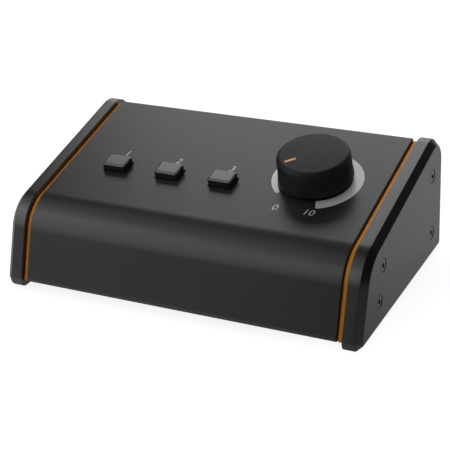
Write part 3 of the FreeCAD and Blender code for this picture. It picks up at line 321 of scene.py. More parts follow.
def cut_away(piece, solids):
    """Takes the closed solids out of the piece and keeps the result as its own mesh."""
    verts, faces, start = [], [], 0
    for v, f in solids:
        verts.append(v)
        faces += [[k + start for k in face] for face in f]
        start += len(v)
    cutter = new_object("cutter", np.concatenate(verts), faces, False)
    step = piece.modifiers.new("cut", "BOOLEAN")
    step.operation = "DIFFERENCE"
    step.solver = "EXACT"
    step.use_self = False
    step.object = cutter
    seen = bpy.context.evaluated_depsgraph_get()
    old = piece.data
    name = old.name
    piece.data = bpy.data.meshes.new_from_object(piece.evaluated_get(seen))
    piece.modifiers.clear()
    bpy.data.meshes.remove(old)
    piece.data.name = name
    rest = cutter.data
    bpy.data.objects.remove(cutter)
    bpy.data.meshes.remove(rest)
    if len(piece.data.polygons) < 12:
        raise RuntimeError(piece.name + ": the cut left no body")


def soften(piece, width, segments=2, angle=30.0):
    """Rounds the piece's sharp edges by a small radius and evens its shading by face area."""
    bevel = piece.modifiers.new("soft edges", "BEVEL")
    bevel.width = width * MM
    bevel.segments = segments
    bevel.limit_method = "ANGLE"
    bevel.angle_limit = math.radians(angle)
    bevel.use_clamp_overlap = False
    bevel.miter_outer = "MITER_ARC"
    even = piece.modifiers.new("even shading", "WEIGHTED_NORMAL")
    even.mode = "FACE_AREA"
    even.weight = 60
    even.keep_sharp = True


# ------------------------------------------------------------------ shader helpers
def add_node(tree, kind, **inputs):
    """A new shader node. Each named input is set to a value or linked to a socket."""
    node = tree.nodes.new("ShaderNode" + kind)
    for label, value in inputs.items():
        socket = node.inputs[label.replace("_", " ")]
        if isinstance(value, bpy.types.NodeSocket):
            tree.links.new(value, socket)
        else:
            socket.default_value = value
    return node


def math_node(tree, operation, a, b, clamp=False):
    """The result of a Math node on two numbers or sockets."""
    node = tree.nodes.new("ShaderNodeMath")
    node.operation = operation
    node.use_clamp = clamp
    for socket, value in zip(node.inputs, (a, b)):
        if isinstance(value, (int, float)):
            socket.default_value = value
        else:
            tree.links.new(value, socket)
    return node.outputs[0]


def smooth_step(tree, value, start, stop):
    """A mask that rises smoothly from 0 at start to 1 at stop."""
    step = add_node(tree, "MapRange", Value=value, From_Min=start, From_Max=stop)
    step.interpolation_type = "SMOOTHSTEP"
    return step.outputs["Result"]


def along(tree, vector, direction):
    """The dot product of a vector socket and a fixed direction."""
    node = tree.nodes.new("ShaderNodeVectorMath")
    node.operation = "DOT_PRODUCT"
    node.inputs[1].default_value = direction
    tree.links.new(vector, node.inputs[0])
    return node.outputs["Value"]


def scaled(tree, colour, level):
    """A colour socket times a level socket."""
    node = tree.nodes.new("ShaderNodeVectorMath")
    node.operation = "SCALE"
    tree.links.new(colour, node.inputs[0])
    tree.links.new(level, node.inputs["Scale"])
    return node.outputs[0]


# ------------------------------------------------------------------ shared shader groups
def grain_group(name, colour, roughness, grain, variation):
    """A new group for a finish: its inputs and outputs, and the place on the object."""
    tree = bpy.data.node_groups.new(name, "ShaderNodeTree")
    inputs = (
        ("Colour", "NodeSocketColor", (colour, colour, colour, 1)),
        ("Roughness", "NodeSocketFloat", roughness),
        ("Grain", "NodeSocketFloat", grain),
        ("Variation", "NodeSocketFloat", variation),
    )
    for label, kind, default in inputs:
        socket = tree.interface.new_socket(label, in_out="INPUT", socket_type=kind)
        socket.default_value = default
    for label, kind, _ in (*inputs[:2], ("Height", "NodeSocketFloat", 0.0)):
        tree.interface.new_socket(label, in_out="OUTPUT", socket_type=kind)
    source, sink = tree.nodes.new("NodeGroupInput"), tree.nodes.new("NodeGroupOutput")
    return tree, source, sink, add_node(tree, "TexCoord").outputs["Object"]


def vary(tree, source, sink, swing, height):
    """Ends a group: colour and roughness rise and fall with the swing, times the variation."""
    amount = math_node(tree, "MULTIPLY", swing, source.outputs["Variation"])
    level = math_node(tree, "ADD", amount, 1.0)
    rough = math_node(tree, "MULTIPLY", source.outputs["Roughness"], level, clamp=True)
    tree.links.new(scaled(tree, source.outputs["Colour"], level), sink.inputs["Colour"])
    tree.links.new(rough, sink.inputs["Roughness"])
    tree.links.new(height, sink.inputs["Height"])
    return tree


def blasted_metal_group():
    """Fine bead-blasted and dyed metal: a grain of small pits, a faint rolling grain across the
    part and slow clouds in colour and roughness."""
    tree, source, sink, place = grain_group("Blasted metal", 0.1, 0.4, 9000.0, 0.08)
    grain = source.outputs["Grain"]
    pits = add_node(tree, "TexNoise", Vector=place, Scale=grain, Detail=2.0).outputs[0]
    stretched = add_node(tree, "Mapping", Vector=place, Scale=(60.0, 2600.0, 2600.0)).outputs[0]
    rolling = add_node(tree, "TexNoise", Vector=stretched, Scale=1.0, Detail=1.0).outputs[0]
    clouds = add_node(tree, "TexNoise", Vector=place, Scale=35.0, Detail=3.0).outputs[0]
    mixed = math_node(tree, "ADD", math_node(tree, "ADD", pits, rolling), clouds)
    swing = math_node(tree, "SUBTRACT", mixed, 1.5)
    deep = math_node(tree, "MULTIPLY", pits, 0.7)
    height = math_node(tree, "ADD", deep, math_node(tree, "MULTIPLY", rolling, 0.3))
    return vary(tree, source, sink, swing, height)


def moulded_group():
    """Fine spark-eroded plastic: two sizes of noise for the grain and a slow change of gloss."""
    tree, source, sink, place = grain_group("Moulded grain", 0.03, 0.5, 5000.0, 0.12)
    grain = source.outputs["Grain"]
    fine = add_node(tree, "TexNoise", Vector=place, Scale=grain, Detail=3.0).outputs[0]
    slow = add_node(tree, "TexNoise", Vector=place, Scale=220.0, Detail=2.0).outputs[0]
    swing = math_node(tree, "SUBTRACT", math_node(tree, "ADD", fine, slow), 1.0)
    return vary(tree, source, sink, swing, fine)


GROUPS = {}


def shared(name):
    """The shared node group of that name, built the first time it is asked for."""
    if name not in GROUPS:
        GROUPS[name] = {"blasted": blasted_metal_group, "moulded": moulded_group}[name]()
    return GROUPS[name]


def finish(
    name, effect, colour, roughness, metallic=0.0, grain=5000.0, variation=0.1, bump=0.05, ior=1.5
):
    """A Principled material whose colour, roughness and bump come from one shared effect."""
    material = bpy.data.materials.get(name)
    if material:
        return material
    material = bpy.data.materials.new(name)
    material.use_nodes = True
    tree = material.node_tree
    shader = tree.nodes["Principled BSDF"]
    detail = tree.nodes.new("ShaderNodeGroup")
    detail.node_tree = shared(effect)
    detail.inputs["Colour"].default_value = (*colour, 1.0)
    detail.inputs["Roughness"].default_value = roughness
    detail.inputs["Grain"].default_value = grain
    detail.inputs["Variation"].default_value = variation
    height = detail.outputs["Height"]
    raised = add_node(tree, "Bump", Strength=bump, Distance=BUMP_DEPTH, Height=height)
    tree.links.new(detail.outputs["Colour"], shader.inputs["Base Color"])
    tree.links.new(detail.outputs["Roughness"], shader.inputs["Roughness"])
    tree.links.new(raised.outputs["Normal"], shader.inputs["Normal"])
    shader.inputs["Metallic"].default_value = metallic
    shader.inputs["IOR"].default_value = ior
    return material


def painted_side_shade(material, direction, share):
    """Painted shade: dims the colour of faces that turn away from a direction to a share of its
    value, so that they read as shaded. The change lies between 63 and 46 degrees from that
    direction."""
    tree = material.node_tree
    base = tree.nodes["Principled BSDF"].inputs["Base Color"]
    colour = base.links[0].from_socket
    facing = add_node(tree, "NewGeometry").outputs["Normal"]
    mask = smooth_step(tree, along(tree, facing, direction), 0.45, 0.7)
    level = math_node(tree, "ADD", math_node(tree, "MULTIPLY", mask, 1.0 - share), share)
    tree.links.new(scaled(tree, colour, level), base)


def dress(piece, material):
    """Puts one material on all of an object's slots."""
    if not piece.data.materials:
        piece.data.materials.append(material)
    for i in range(len(piece.material_slots)):
        piece.material_slots[i].material = material


# ------------------------------------------------------------------ settings
def colour_setting(label, text, *default):
    return FloatVectorProperty(
        name=label, description=text, subtype="COLOR", size=3, default=default, min=0, max=1
    )


def level_setting(label, text, default, **limits):
    return FloatProperty(name=label, description=text, default=default, min=0, **limits)


def edge_setting(label, default, widest):
    text = "Edge radius in millimetres"
    return FloatProperty(name=label, description=text, default=default, min=0.02, max=widest)


def turn_setting(label, text, degrees):
    angle = math.radians(degrees)
    return FloatProperty(name=label, description=text, default=angle, subtype="ANGLE")


class FinishSettings(bpy.types.PropertyGroup):
    metal: colour_setting("Metal", "Dyed metal of shell, tray and rear", 0.115, 0.115, 0.117)
    cheek: colour_setting("Cheeks", "Dyed metal of the cheeks", 0.155, 0.155, 0.157)
    metal_roughness: level_setting(
        "Metal roughness", "Roughness of the blasted metal", 0.337, max=1, subtype="FACTOR"
    )
    trim: colour_setting("Trim", "Orange finish of the trim plates", 0.97, 0.37, 0.045)
    knob: colour_setting("Knob", "Plastic of the knob", 0.0145, 0.0145, 0.0155)
    pointer: colour_setting("Pointer", "Inlaid line on the knob", 0.95, 0.51, 0.29)
    cap: colour_setting("Caps", "Satin finish of the button caps", 0.215, 0.215, 0.218)
    # Painted shade: share of the cap colour kept on the caps' sides, which are darkened to stand in
    # for shade
    cap_side_shade: level_setting("Cap side shade", "Share of that level on the sides", 0.26, max=1)
    ink: colour_setting("Ink", "Printing on the panel", 0.86, 0.86, 0.86)


class ShapeSettings(bpy.types.PropertyGroup):
    shell_edge: edge_setting("Shell edge", 0.2, 0.6)
    cheek_edge: edge_setting("Cheek edge", 0.2, 0.6)
    trim_edge: edge_setting("Trim edge", 0.9, 1.1)
    cap_edge: edge_setting("Cap edge", 0.14, 0.6)
    dial_start: turn_setting("Dial start", "From straight down, clockwise seen from outside", 46.4)
    dial_sweep: turn_setting("Dial sweep", "Angle that the printed wedge covers", 294.3)
    digit_height: FloatProperty(
        name="Digit height", description="In millimetres", default=3.3, min=1, max=6
    )
    arc_steps: IntProperty(
        name="Arc steps", description="Straight runs in each bend", default=24, min=6, max=96
    )


class StageSettings(bpy.types.PropertyGroup):
    floor: level_setting("Floor", "Grey of the floor round the object", 0.5, max=1)
    floor_front: level_setting("Floor in front", "Grey of the floor in front", 0.315, max=1)
    floor_glow: level_setting("Floor glow", "White added to the floor for the camera", 0.86, max=1)
    floor_mirror: level_setting("Floor in reflections", "White added for reflections", 0.218)
    room: level_setting("Room", "Room light on the surfaces", 0.24)
    room_mirror: level_setting("Room in reflections", "Level of the room in reflections", 0.0)
    horizon: level_setting("Horizon", "White at the horizon on the left, in reflections", 0.2)
    backdrop: level_setting("Backdrop", "White at the horizon behind, in reflections", 0.45)
    key: level_setting("Back box", "Radiance of the large soft box behind", 1.295)
    front: level_setting("Front box", "Radiance of the soft box in front", 0.677)
    top: level_setting("Top box", "Radiance of the soft box above on the left", 0.348)


# ------------------------------------------------------------------ operators
def cap_outline(in_x, in_s):
    """The rounded oblong of a button cap, moved in by the two distances (out where negative)."""
    a, b = CAP_HALF - (in_x, in_s)
    return rounded([(-a, -b), (-a, b), (a, b), (a, -b)], [CAP_CORNER_R] * 4, 6)


def panel_ring(outline, x, s, h):
    """A plane outline laid on the panel round (x, s), at height h."""
    return on_panel(x + outline[:, 0], s + outline[:, 1], np.full(len(outline), h))


class CONTROLLER_OT_shell(bpy.types.Operator):
    """Bent sheet with its two lips, the holes for caps and shaft, and softened edges"""

    bl_idname = "controller.shell"
    bl_label = "Shell skin"

    def execute(self, context):
        shape = context.scene.box_shape
        look = context.scene.box_finish
        direction = SHELL_LINE[1] - SHELL_LINE[0]
        toe = crossing(SHELL_LINE[0], direction, (0, SHELL_FOOT), (1, 0))
        heel = crossing(SHELL_LINE[1], ALONG, (SHELL_BACK, 0), (0, 1))
        lips = (toe[0] + BASE_LIP, SHELL_FOOT), (SHELL_BACK, heel[1] - REAR_LIP)
        outer = np.array([lips[0], toe, BEND, heel, lips[1]])
        runs = []
        for line, thick in ((outer, 0.0), (self.offset(outer), SHELL_T)):
            radii = [0, FOLD_R - thick, BEND_R - thick, FOLD_R - thick, 0]
            runs.append(rounded(line, radii, shape.arc_steps, closed=False))
        path = np.concatenate([runs[0], runs[1][::-1]])
        ends = [in_frame(x, path[:, 0], path[:, 1]) for x in (-SHELL_END, SHELL_END)]
        count, half = len(path), len(runs[0])
        faces = grid_faces(2, count, wrap_columns=True)
        i = np.arange(half - 1)
        lid = np.stack([i, i + 1, count - 2 - i, count - 1 - i], 1)
        faces += lid[:, ::-1].tolist() + (lid + count).tolist()
        piece = new_object("shell_skin", np.concatenate(ends), faces)
        cut_away(piece, self.holes(heel[1] - SCREW_FROM_BACK, toe[0] + SCREW_FROM_FRONT))
        soften(piece, shape.shell_edge)
        dress(piece, finish("Dyed metal", "blasted", look.metal, look.metal_roughness, METAL_SHARE))
        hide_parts("top_shell")
        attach(piece, "chassis")
        return {"FINISHED"}

    @staticmethod
    def offset(outer):
        """The inside line of the sheet: each run moved inwards by the sheet's thickness."""
        ahead = np.diff(outer, axis=0)
        ahead /= np.linalg.norm(ahead, axis=1)[:, None]
        shift = np.stack([ahead[:, 1], -ahead[:, 0]], 1) * SHELL_T
        corners = []
        for i in range(1, len(outer) - 1):
            before, after = outer[i] + shift[i - 1], outer[i] + shift[i]
            corners.append(crossing(before, ahead[i - 1], after, ahead[i]))
        return np.array([outer[0] + shift[0], *corners, outer[-1] + shift[-1]])

    @staticmethod
    def holes(rear_z, front_y):
        """Cutters for the caps, the shaft and its pin, and the screws of both lips. Each runs
        from inner millimetres inside the sheet's outer face to outer millimetres outside it."""
        inner, outer = 3.0, 2.0
        ring = cap_outline(-CAP_GAP, -CAP_GAP)
        solids = []
        for x, s in BUTTON_AT:
            solids.append(stacked_rings([panel_ring(ring, x, s, h) for h in (-inner, outer)]))
        x, s = KNOB_AT
        for radius, up, steps in ((SHAFT_HOLE_R, 0.0, 40), (PIN_HOLE_R, PIN_FROM_SHAFT, 24)):
            ends = on_panel(x, s + up, -inner), on_panel(x, s + up, outer)
            solids.append(disc_rod(radius, *ends, steps))
        back = SHELL_BACK - inner, SHELL_BACK + outer
        foot = SHELL_FOOT - outer, SHELL_FOOT + inner
        for x in SCREW_ROW:
            for ends in ([(y, rear_z) for y in back], [(front_y, z) for z in foot]):
                start, end = (in_frame(x, y, z) for y, z in ends)
                solids.append(disc_rod(SCREW_HOLE_R, start, end, SCREW_STEPS))
        return solids


class CONTROLLER_OT_cheeks(bpy.types.Operator):
    """Thick side plates with a flat chamfer round the outer face and countersunk holes"""

    bl_idname = "controller.cheeks"
    bl_label = "Cheeks"

    def execute(self, context):
        shape = context.scene.box_shape
        look = context.scene.box_finish
        full = rounded(CHEEK_LINE, CHEEK_RADII, shape.arc_steps)
        small = rounded(inset(CHEEK_LINE, CHAMFER), CHEEK_RADII - CHAMFER, shape.arc_steps)
        stations = ((CHEEK_IN, full), (CHEEK_OUT - CHAMFER, full), (CHEEK_OUT, small))
        rough = look.metal_roughness - CHEEK_GLOSS
        for side, name in ((1, "right_cheek"), (-1, "left_cheek")):
            rings = [in_frame(side * x, line[:, 0], line[:, 1]) for x, line in stations]
            piece = new_object(name + "_skin", *stacked_rings(rings))
            cut_away(piece, [self.countersink(side, y, z) for y, z in CHEEK_SCREWS])
            soften(piece, shape.cheek_edge)
            metal = finish("Dyed metal cheeks", "blasted", look.cheek, rough, CHEEK_METAL_SHARE)
            dress(piece, metal)
            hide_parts(name)
            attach(piece, "chassis")
        return {"FINISHED"}

    @staticmethod
    def countersink(side, y, z):
        """A stepped cutter along X: shank, cone and mouth, past the plate by a millimetre."""
        mouth, cone_foot, cone_top, past, steps = 2.77, 1.27, 0.15, 1.0, 40
        angle = np.linspace(0, 2 * math.pi, steps, endpoint=False)
        stations = (
            (CHEEK_IN - past, SCREW_HOLE_R),
            (CHEEK_OUT - cone_foot, SCREW_HOLE_R),
            (CHEEK_OUT - cone_top, mouth),
            (CHEEK_OUT + past, mouth),
        )
        rings = []
        for x, r in stations:
            ring = y + r * np.cos(angle), z + r * np.sin(angle)
            rings.append(in_frame(np.full(steps, side * x), *ring))
        return stacked_rings(rings)


class CONTROLLER_OT_trims(bpy.types.Operator):
    """Orange plates that show as a line between shell and cheeks"""

    bl_idname = "controller.trims"
    bl_label = "Trim plates"

    def execute(self, context):
        shape = context.scene.box_shape
        look = context.scene.box_finish
        line = inset(CHEEK_LINE, TRIM_INSET)
        back = SHELL_BACK - TRIM_SHORT
        front = crossing(line[0], line[1] - line[0], (0, TRIM_FOOT), (1, 0))
        top = crossing(line[1], ALONG, (back, 0), (0, 1))
        outline = rounded([front, line[1], top, (back, TRIM_FOOT)], TRIM_RADII, shape.arc_steps)
        inner, outer = SHELL_END - 1.4, CHEEK_IN + 1.2
        for side, name in ((1, "right_trim_plate"), (-1, "left_trim_plate")):
            sides = side * SHELL_END, side * CHEEK_IN
            rings = [in_frame(x, outline[:, 0], outline[:, 1]) for x in sides]
            piece = new_object(name + "_skin", *stacked_rings(rings))
            holes = []
            for y, z in CHEEK_SCREWS:
                start, end = in_frame(side * inner, y, z), in_frame(side * outer, y, z)
                holes.append(disc_rod(SCREW_HOLE_R, start, end, SCREW_STEPS))
            cut_away(piece, holes)
            soften(piece, shape.trim_edge, 6)
            paint = finish("Trim finish", "blasted", look.trim, 0.3, 0.05, 6000.0, 0.06, ior=1.35)
            dress(piece, paint)
            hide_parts(name)
            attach(piece, "chassis")
        return {"FINISHED"}


def at_knob(x, y, z):
    """Points of the knob's own frame, 0 at the panel, on its axis."""
    return on_panel(KNOB_AT[0] + x, KNOB_AT[1] + y, z)


class CONTROLLER_OT_knob(bpy.types.Operator):
    """Knob with a flared foot, a round rim and a hollow underside, and its inlaid line"""

    bl_idname = "controller.knob"
    bl_label = "Volume knob"

    def execute(self, context):
        look = context.scene.box_finish
        foot, flare, top, roof = 1.7, 4.9, 12.5, 10.3
        wall = [(0, foot), (14.75, foot), (14.38, flare), (14.2, top), (0, top)]
        outside = rounded(wall, [0, 0.3, 10.8, 1.8, 0], 10, closed=False)
        bore_r, bore_top, hub_r, hub_foot, hollow_r = 3.02, 10.2, 5.4, 5.2, 12.2
        hub = [(0, bore_top), (bore_r, bore_top), (bore_r, hub_foot), (hub_r, hub_foot)]
        inside = hub + [(hub_r, roof), (hollow_r, roof), (hollow_r, foot)]
        verts, faces = revolved(np.concatenate([inside, outside[1:]]), 160, at_knob)
        piece = new_object("volume_knob_skin", verts, faces)
        self.keep_creases(piece)
        dress(piece, finish("Knob plastic", "moulded", look.knob, 0.5, 0.0, 6500.0, 0.1, 0.12))
        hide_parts("volume_knob")
        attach(piece, "volume")
        lowest, start, end, half, sunk, proud = math.radians(223.5), 7.1, 11.6, 0.6, 0.7, 0.03
        corners = [(start, -half), (start, half), (end, half), (end, -half)]
        bar = rounded(corners, [0.2] * 4, 5)
        x = bar[:, 0] * math.cos(lowest) - bar[:, 1] * math.sin(lowest)
        y = bar[:, 0] * math.sin(lowest) + bar[:, 1] * math.cos(lowest)
        rings = [at_knob(x, y, np.full(len(bar), h)) for h in (top - sunk, top + proud)]
        line = new_object("knob_line", *stacked_rings(rings), smooth=False)
        inlay = finish("Pointer inlay", "moulded", look.pointer, 0.45, 0.3, 3000.0, 0.05, 0.03)
        dress(line, inlay)
        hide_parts("knob_pointer")
        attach(line, "volume")
        return {"FINISHED"}

    @staticmethod
    def keep_creases(piece):
        """Marks edges that turn by more than a crease's angle as sharp."""
        crease = math.radians(32)
        work = bmesh.new()
        work.from_mesh(piece.data)
        for edge in work.edges:
            if len(edge.link_faces) == 2 and edge.calc_face_angle() > crease:
                edge.smooth = False
        work.to_mesh(piece.data)
        work.free()


class CONTROLLER_OT_caps(bpy.types.Operator):
    """Oblong caps with a low bevel of two slopes all round, one per switch, with painted shade on
    their sides
    """

    bl_idname = "controller.caps"
    bl_label = "Button caps"

    def execute(self, context):
        shape = context.scene.box_shape
        look = context.scene.box_finish
        top = finish("Cap metal, painted side shade", "blasted", look.cap, look.metal_roughness, METAL_SHARE)
        # Painted shade: the caps' sides get a darker copy of the top colour, standing in for shade
        # on them
        painted_side_shade(top, PANEL_NORMAL, look.cap_side_shade)
        for number, (x, s) in enumerate(BUTTON_AT, 1):
            rings = [panel_ring(cap_outline(in_x, in_s), x, s, h) for h, in_x, in_s in CAP_RINGS]
            piece = new_object("cap_skin_%d" % number, *stacked_rings(rings))
            soften(piece, shape.cap_edge, 3, 30.0)
            dress(piece, top)
            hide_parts("button_cap_%d" % number)
            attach(piece, "button_%d" % number)
        return {"FINISHED"}


class CONTROLLER_OT_print(bpy.types.Operator):
    """Dial wedge round the knob and plain digits, laid on the panel as thin ink"""

    bl_idname = "controller.print"
    bl_label = "Panel print"

    def execute(self, context):
        shape = context.scene.box_shape
        look = context.scene.box_finish
        ink = finish("Panel ink", "moulded", look.ink, 0.4, 0.3, 4000.0, 0.05, 0.02)
        body = self.wedge(shape.dial_start, shape.dial_sweep)
        pieces = [new_object("dial_print", *body, smooth=False)]
        for number, (word, x, s) in enumerate(FIGURES, 1):
            pieces.append(self.text("digit_print_%d" % number, word, x, s, shape.digit_height))
        for piece in pieces:
            dress(piece, ink)
            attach(piece, "chassis")
        return {"FINISHED"}

    @staticmethod
    def wedge(start, sweep):
        """A ring sector that widens as it turns: the inner radius falls evenly, and the outer
        radius r rises to its full size R, as r = R - k ln(1 + exp((g - f t) / k)) with a
        smoothing k. Corners are eased over the first and last bit of the run."""
        inside, shrink, full, smoothing, gap, rise = 15.3, 1.75, 18.2, 0.12, 1.4, 9.3
        middle, corner = 16.5, 0.4
        t = np.linspace(0, 1, 241)
        inner = inside - shrink * t
        outer = full - smoothing * np.log1p(np.exp((gap - rise * t) / smoothing))
        run = np.minimum(t, 1 - t) * sweep * middle
        near = 1 - np.clip(run / corner, 0, 1)
        ease = corner * (1 - np.sqrt(np.clip(1 - near**2, 0, 1)))
        angle = -math.pi / 2 - start - sweep * t
        verts = []
        for h in (PRINT_LOW, PRINT_HIGH):
            for radius in (inner + ease, outer - ease):
                arc = np.stack([radius * np.cos(angle), radius * np.sin(angle)], 1)
                verts.append(panel_ring(arc, *DIAL_AT, h))
        n = len(t)
        low_in, low_out, high_in, high_out = (np.arange(n) + k * n for k in range(4))
        loops = [high_in, high_out, low_out, low_in]
        faces = []
        for a, b in zip(loops, loops[1:] + loops[:1]):
            faces += np.stack([a[:-1], a[1:], b[1:], b[:-1]], 1).tolist()
        for k in (0, -1):
            faces.append([int(loop[k]) for loop in loops])
        return np.concatenate(verts), faces

    @staticmethod
    def text(name, word, x, s, height):
        """A figure turned into a thin closed mesh, leant a little and laid on the panel."""
        slant = 0.18
        curve = bpy.data.curves.new(name, "FONT")
        curve.body = word
        curve.size = 1.0
        curve.align_x = "CENTER"
        curve.align_y = "CENTER"
        curve.extrude = 0.01
        carrier = bpy.data.objects.new(name + "_text", curve)
        bpy.context.scene.collection.objects.link(carrier)
        seen = bpy.context.evaluated_depsgraph_get()
        mesh = bpy.data.meshes.new_from_object(carrier.evaluated_get(seen))
        bpy.data.objects.remove(carrier)
        bpy.data.curves.remove(curve)
        co = np.empty(len(mesh.vertices) * 3)
        mesh.vertices.foreach_get("co", co)
        co = co.reshape(-1, 3)
        scale = height / (co[:, 1].max() - co[:, 1].min())
        middle = (co.max(0) + co.min(0)) / 2
        flat = (co - middle) * scale
        across = x + flat[:, 0] + flat[:, 1] * slant
        placed = on_panel(across, s + flat[:, 1], np.where(co[:, 2] > 0, PRINT_HIGH, PRINT_LOW))
        mesh.vertices.foreach_set("co", placed.ravel())
        mesh.update()
        mesh.name = name
        piece = bpy.data.objects.new(name, mesh)
        bpy.context.scene.collection.objects.link(piece)
        return piece


class CONTROLLER_OT_inner_finish(bpy.types.Operator):
    """Finishes for the pieces that keep their own solid: screws, feet, sockets and the inside"""

    bl_idname = "controller.inner_finish"
    bl_label = "Finishes of the carried pieces"

    def execute(self, context):
        look = context.scene.box_finish
        metal = "Dyed metal", "blasted", look.metal, look.metal_roughness, METAL_SHARE
        for names, values in (("base_tray rear_panel", metal), *CARRIED):
            material = finish(*values)
            for name in names.split():
                dress(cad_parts[name], material)
        return {"FINISHED"}


class CONTROLLER_OT_springs(bpy.types.Operator):
    """Gives each return spring, which shortens as its button goes down, a mesh of its own"""

    bl_idname = "controller.springs"
    bl_label = "Return springs"

    def execute(self, context):
        for number in range(1, len(BUTTON_AT) + 1):
            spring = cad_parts["return_spring_%d" % number]
            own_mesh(spring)
        return {"FINISHED"}


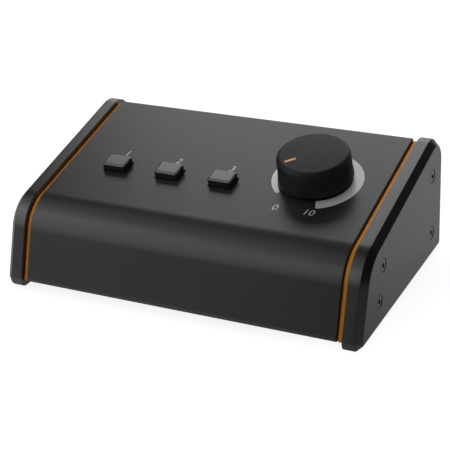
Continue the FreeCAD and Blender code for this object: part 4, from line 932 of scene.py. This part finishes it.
class CONTROLLER_OT_stage(bpy.types.Operator):
    """Pale floor, plain room, three soft boxes and the camera"""

    bl_idname = "controller.stage"
    bl_label = "Studio"

    def execute(self, context):
        stage = context.scene.box_stage
        self.floor(stage)
        self.room(stage)
        centre = Vector((0.0, 0.0, 0.03))
        self.soft_box("back_box", centre, (-0.139, 0.817, 0.559), 1.1, (1.13, 0.9), stage.key)
        self.soft_box("front_box", centre, (-0.628, -0.593, 0.504), 1.5, (1.69, 1.15), stage.front)
        self.soft_box("top_box", centre, (-0.579, -0.243, 0.778), 1.5, (1.12, 1.12), stage.top)
        self.camera(context)
        context.scene.view_settings.view_transform = "Standard"
        return {"FINISHED"}

    @staticmethod
    def floor(stage):
        """A wide matt floor, darker in front on the right, which shines white to the camera."""
        reach, lines = 8.0, 5
        grid = np.linspace(-reach, reach, lines)
        x, y = np.meshgrid(grid, grid)
        verts = np.stack([x.ravel(), y.ravel(), np.zeros(x.size)], 1)
        piece = new_object("floor", verts, grid_faces(lines, lines), smooth=False)
        material = bpy.data.materials.new("Pale floor")
        material.use_nodes = True
        tree = material.node_tree
        tree.nodes.clear()
        place = add_node(tree, "TexCoord").outputs["Object"]
        path = add_node(tree, "LightPath").outputs
        across = along(tree, place, (math.sqrt(0.5), -math.sqrt(0.5), 0))
        near = smooth_step(tree, across, *FLOOR_FADE)
        lift = math_node(tree, "MULTIPLY", near, stage.floor - stage.floor_front)
        grey = math_node(tree, "ADD", lift, stage.floor_front)
        seen = math_node(tree, "MAXIMUM", path["Is Camera Ray"], path["Is Transmission Ray"])
        dimmed = math_node(tree, "MULTIPLY", near, stage.floor_glow - 1.0)
        direct = math_node(tree, "MULTIPLY", seen, math_node(tree, "ADD", dimmed, 1.0))
        mirrored = math_node(tree, "MULTIPLY", path["Is Glossy Ray"], stage.floor_mirror)
        mirrored = math_node(tree, "MULTIPLY", mirrored, near)
        strength = math_node(tree, "ADD", direct, mirrored)
        matt = add_node(tree, "BsdfDiffuse", Color=grey)
        glow = add_node(tree, "Emission", Color=(1, 1, 1, 1), Strength=strength)
        both = add_node(tree, "AddShader")
        tree.links.new(matt.outputs[0], both.inputs[0])
        tree.links.new(glow.outputs[0], both.inputs[1])
        add_node(tree, "OutputMaterial", Surface=both.outputs[0])
        dress(piece, material)

    @staticmethod
    def room(stage):
        """Plain light on surfaces, white to the camera; reflections see a band at the horizon."""
        world = bpy.data.worlds.new("Room")
        bpy.context.scene.world = world
        world.use_nodes = True
        tree = world.node_tree
        tree.nodes.clear()
        path = add_node(tree, "LightPath").outputs
        ray = add_node(tree, "TexCoord").outputs["Generated"]
        split = add_node(tree, "SeparateXYZ", Vector=ray)
        left = smooth_step(tree, split.outputs["X"], *LEFT_FADE)
        behind = smooth_step(tree, split.outputs["Y"], *BACK_FADE)
        low = smooth_step(tree, split.outputs["Z"], *HORIZON_FADE)
        left = math_node(tree, "MULTIPLY", left, stage.horizon)
        behind = math_node(tree, "MULTIPLY", behind, stage.backdrop)
        band = math_node(tree, "MULTIPLY", math_node(tree, "ADD", left, behind), low)
        mirror = math_node(tree, "ADD", band, stage.room_mirror)
        change = math_node(tree, "SUBTRACT", mirror, stage.room)
        glossy = math_node(tree, "MULTIPLY", path["Is Glossy Ray"], change)
        seen = math_node(tree, "MAXIMUM", path["Is Camera Ray"], path["Is Transmission Ray"])
        white = math_node(tree, "MULTIPLY", seen, 1.0 - stage.room)
        strength = math_node(tree, "ADD", math_node(tree, "ADD", white, glossy), stage.room)
        plain = add_node(tree, "Background", Color=(1, 1, 1, 1), Strength=strength)
        add_node(tree, "OutputWorld", Surface=plain.outputs[0])
        world.cycles.sampling_method = "NONE"

    @staticmethod
    def soft_box(name, centre, direction, distance, size, radiance):
        """An area lamp that faces the object. Its power is radiance times pi times its area."""
        lamp = bpy.data.lights.new(name, "AREA")
        lamp.shape = "RECTANGLE"
        lamp.size, lamp.size_y = size
        lamp.energy = radiance * math.pi * size[0] * size[1]
        holder = bpy.data.objects.new(name, lamp)
        bpy.context.scene.collection.objects.link(holder)
        away = Vector(direction).normalized()
        holder.location = centre + away * distance
        holder.rotation_euler = away.to_track_quat("Z", "Y").to_euler()
        holder.visible_camera = False

    @staticmethod
    def camera(context):
        lens = bpy.data.cameras.new("camera")
        lens.sensor_fit = "HORIZONTAL"
        lens.sensor_width = 36.0
        lens.lens = 107.15
        lens.shift_x = 0.01065
        lens.shift_y = -0.0271
        lens.clip_start = 0.01
        lens.clip_end = 50.0
        holder = bpy.data.objects.new("camera", lens)
        context.scene.collection.objects.link(holder)
        right = Vector((0.899364, 0.434702, -0.046687))
        up = Vector((-0.145479, 0.398255, 0.905665))
        back = Vector((0.412287, -0.80773, 0.421416))
        turn = Matrix((right, up, back)).transposed().to_4x4()
        holder.matrix_world = Matrix.Translation((0.218375, -0.431476, 0.24921)) @ turn
        context.scene.camera = holder


class CONTROLLER_PT_panel(bpy.types.Panel):
    """Buttons and settings of the volume box"""

    bl_idname = "CONTROLLER_PT_panel"
    bl_label = "Volume Box"
    bl_space_type = "VIEW_3D"
    bl_region_type = "UI"
    bl_category = "Volume Box"

    def draw(self, context):
        layout = self.layout
        for operator in OPERATORS:
            layout.operator(operator.bl_idname)
        for group in (context.scene.box_finish, context.scene.box_shape, context.scene.box_stage):
            for key in group.bl_rna.properties.keys():
                if key not in ("rna_type", "name"):
                    layout.prop(group, key)


OPERATORS = (
    CONTROLLER_OT_shell,
    CONTROLLER_OT_cheeks,
    CONTROLLER_OT_trims,
    CONTROLLER_OT_knob,
    CONTROLLER_OT_caps,
    CONTROLLER_OT_print,
    CONTROLLER_OT_inner_finish,
    CONTROLLER_OT_springs,
    CONTROLLER_OT_stage,
)
CLASSES = (FinishSettings, ShapeSettings, StageSettings, *OPERATORS, CONTROLLER_PT_panel)


def register():
    for item in CLASSES:
        bpy.utils.register_class(item)
    bpy.types.Scene.box_finish = PointerProperty(type=FinishSettings)
    bpy.types.Scene.box_shape = PointerProperty(type=ShapeSettings)
    bpy.types.Scene.box_stage = PointerProperty(type=StageSettings)


def unregister():
    del bpy.types.Scene.box_finish, bpy.types.Scene.box_shape, bpy.types.Scene.box_stage
    for item in reversed(CLASSES):
        bpy.utils.unregister_class(item)


def main():
    register()
    bpy.ops.controller.shell()
    bpy.ops.controller.cheeks()
    bpy.ops.controller.trims()
    bpy.ops.controller.knob()
    bpy.ops.controller.caps()
    bpy.ops.controller.print()
    bpy.ops.controller.inner_finish()
    bpy.ops.controller.springs()
    bpy.ops.controller.stage()


if __name__ == "__main__":
    main()
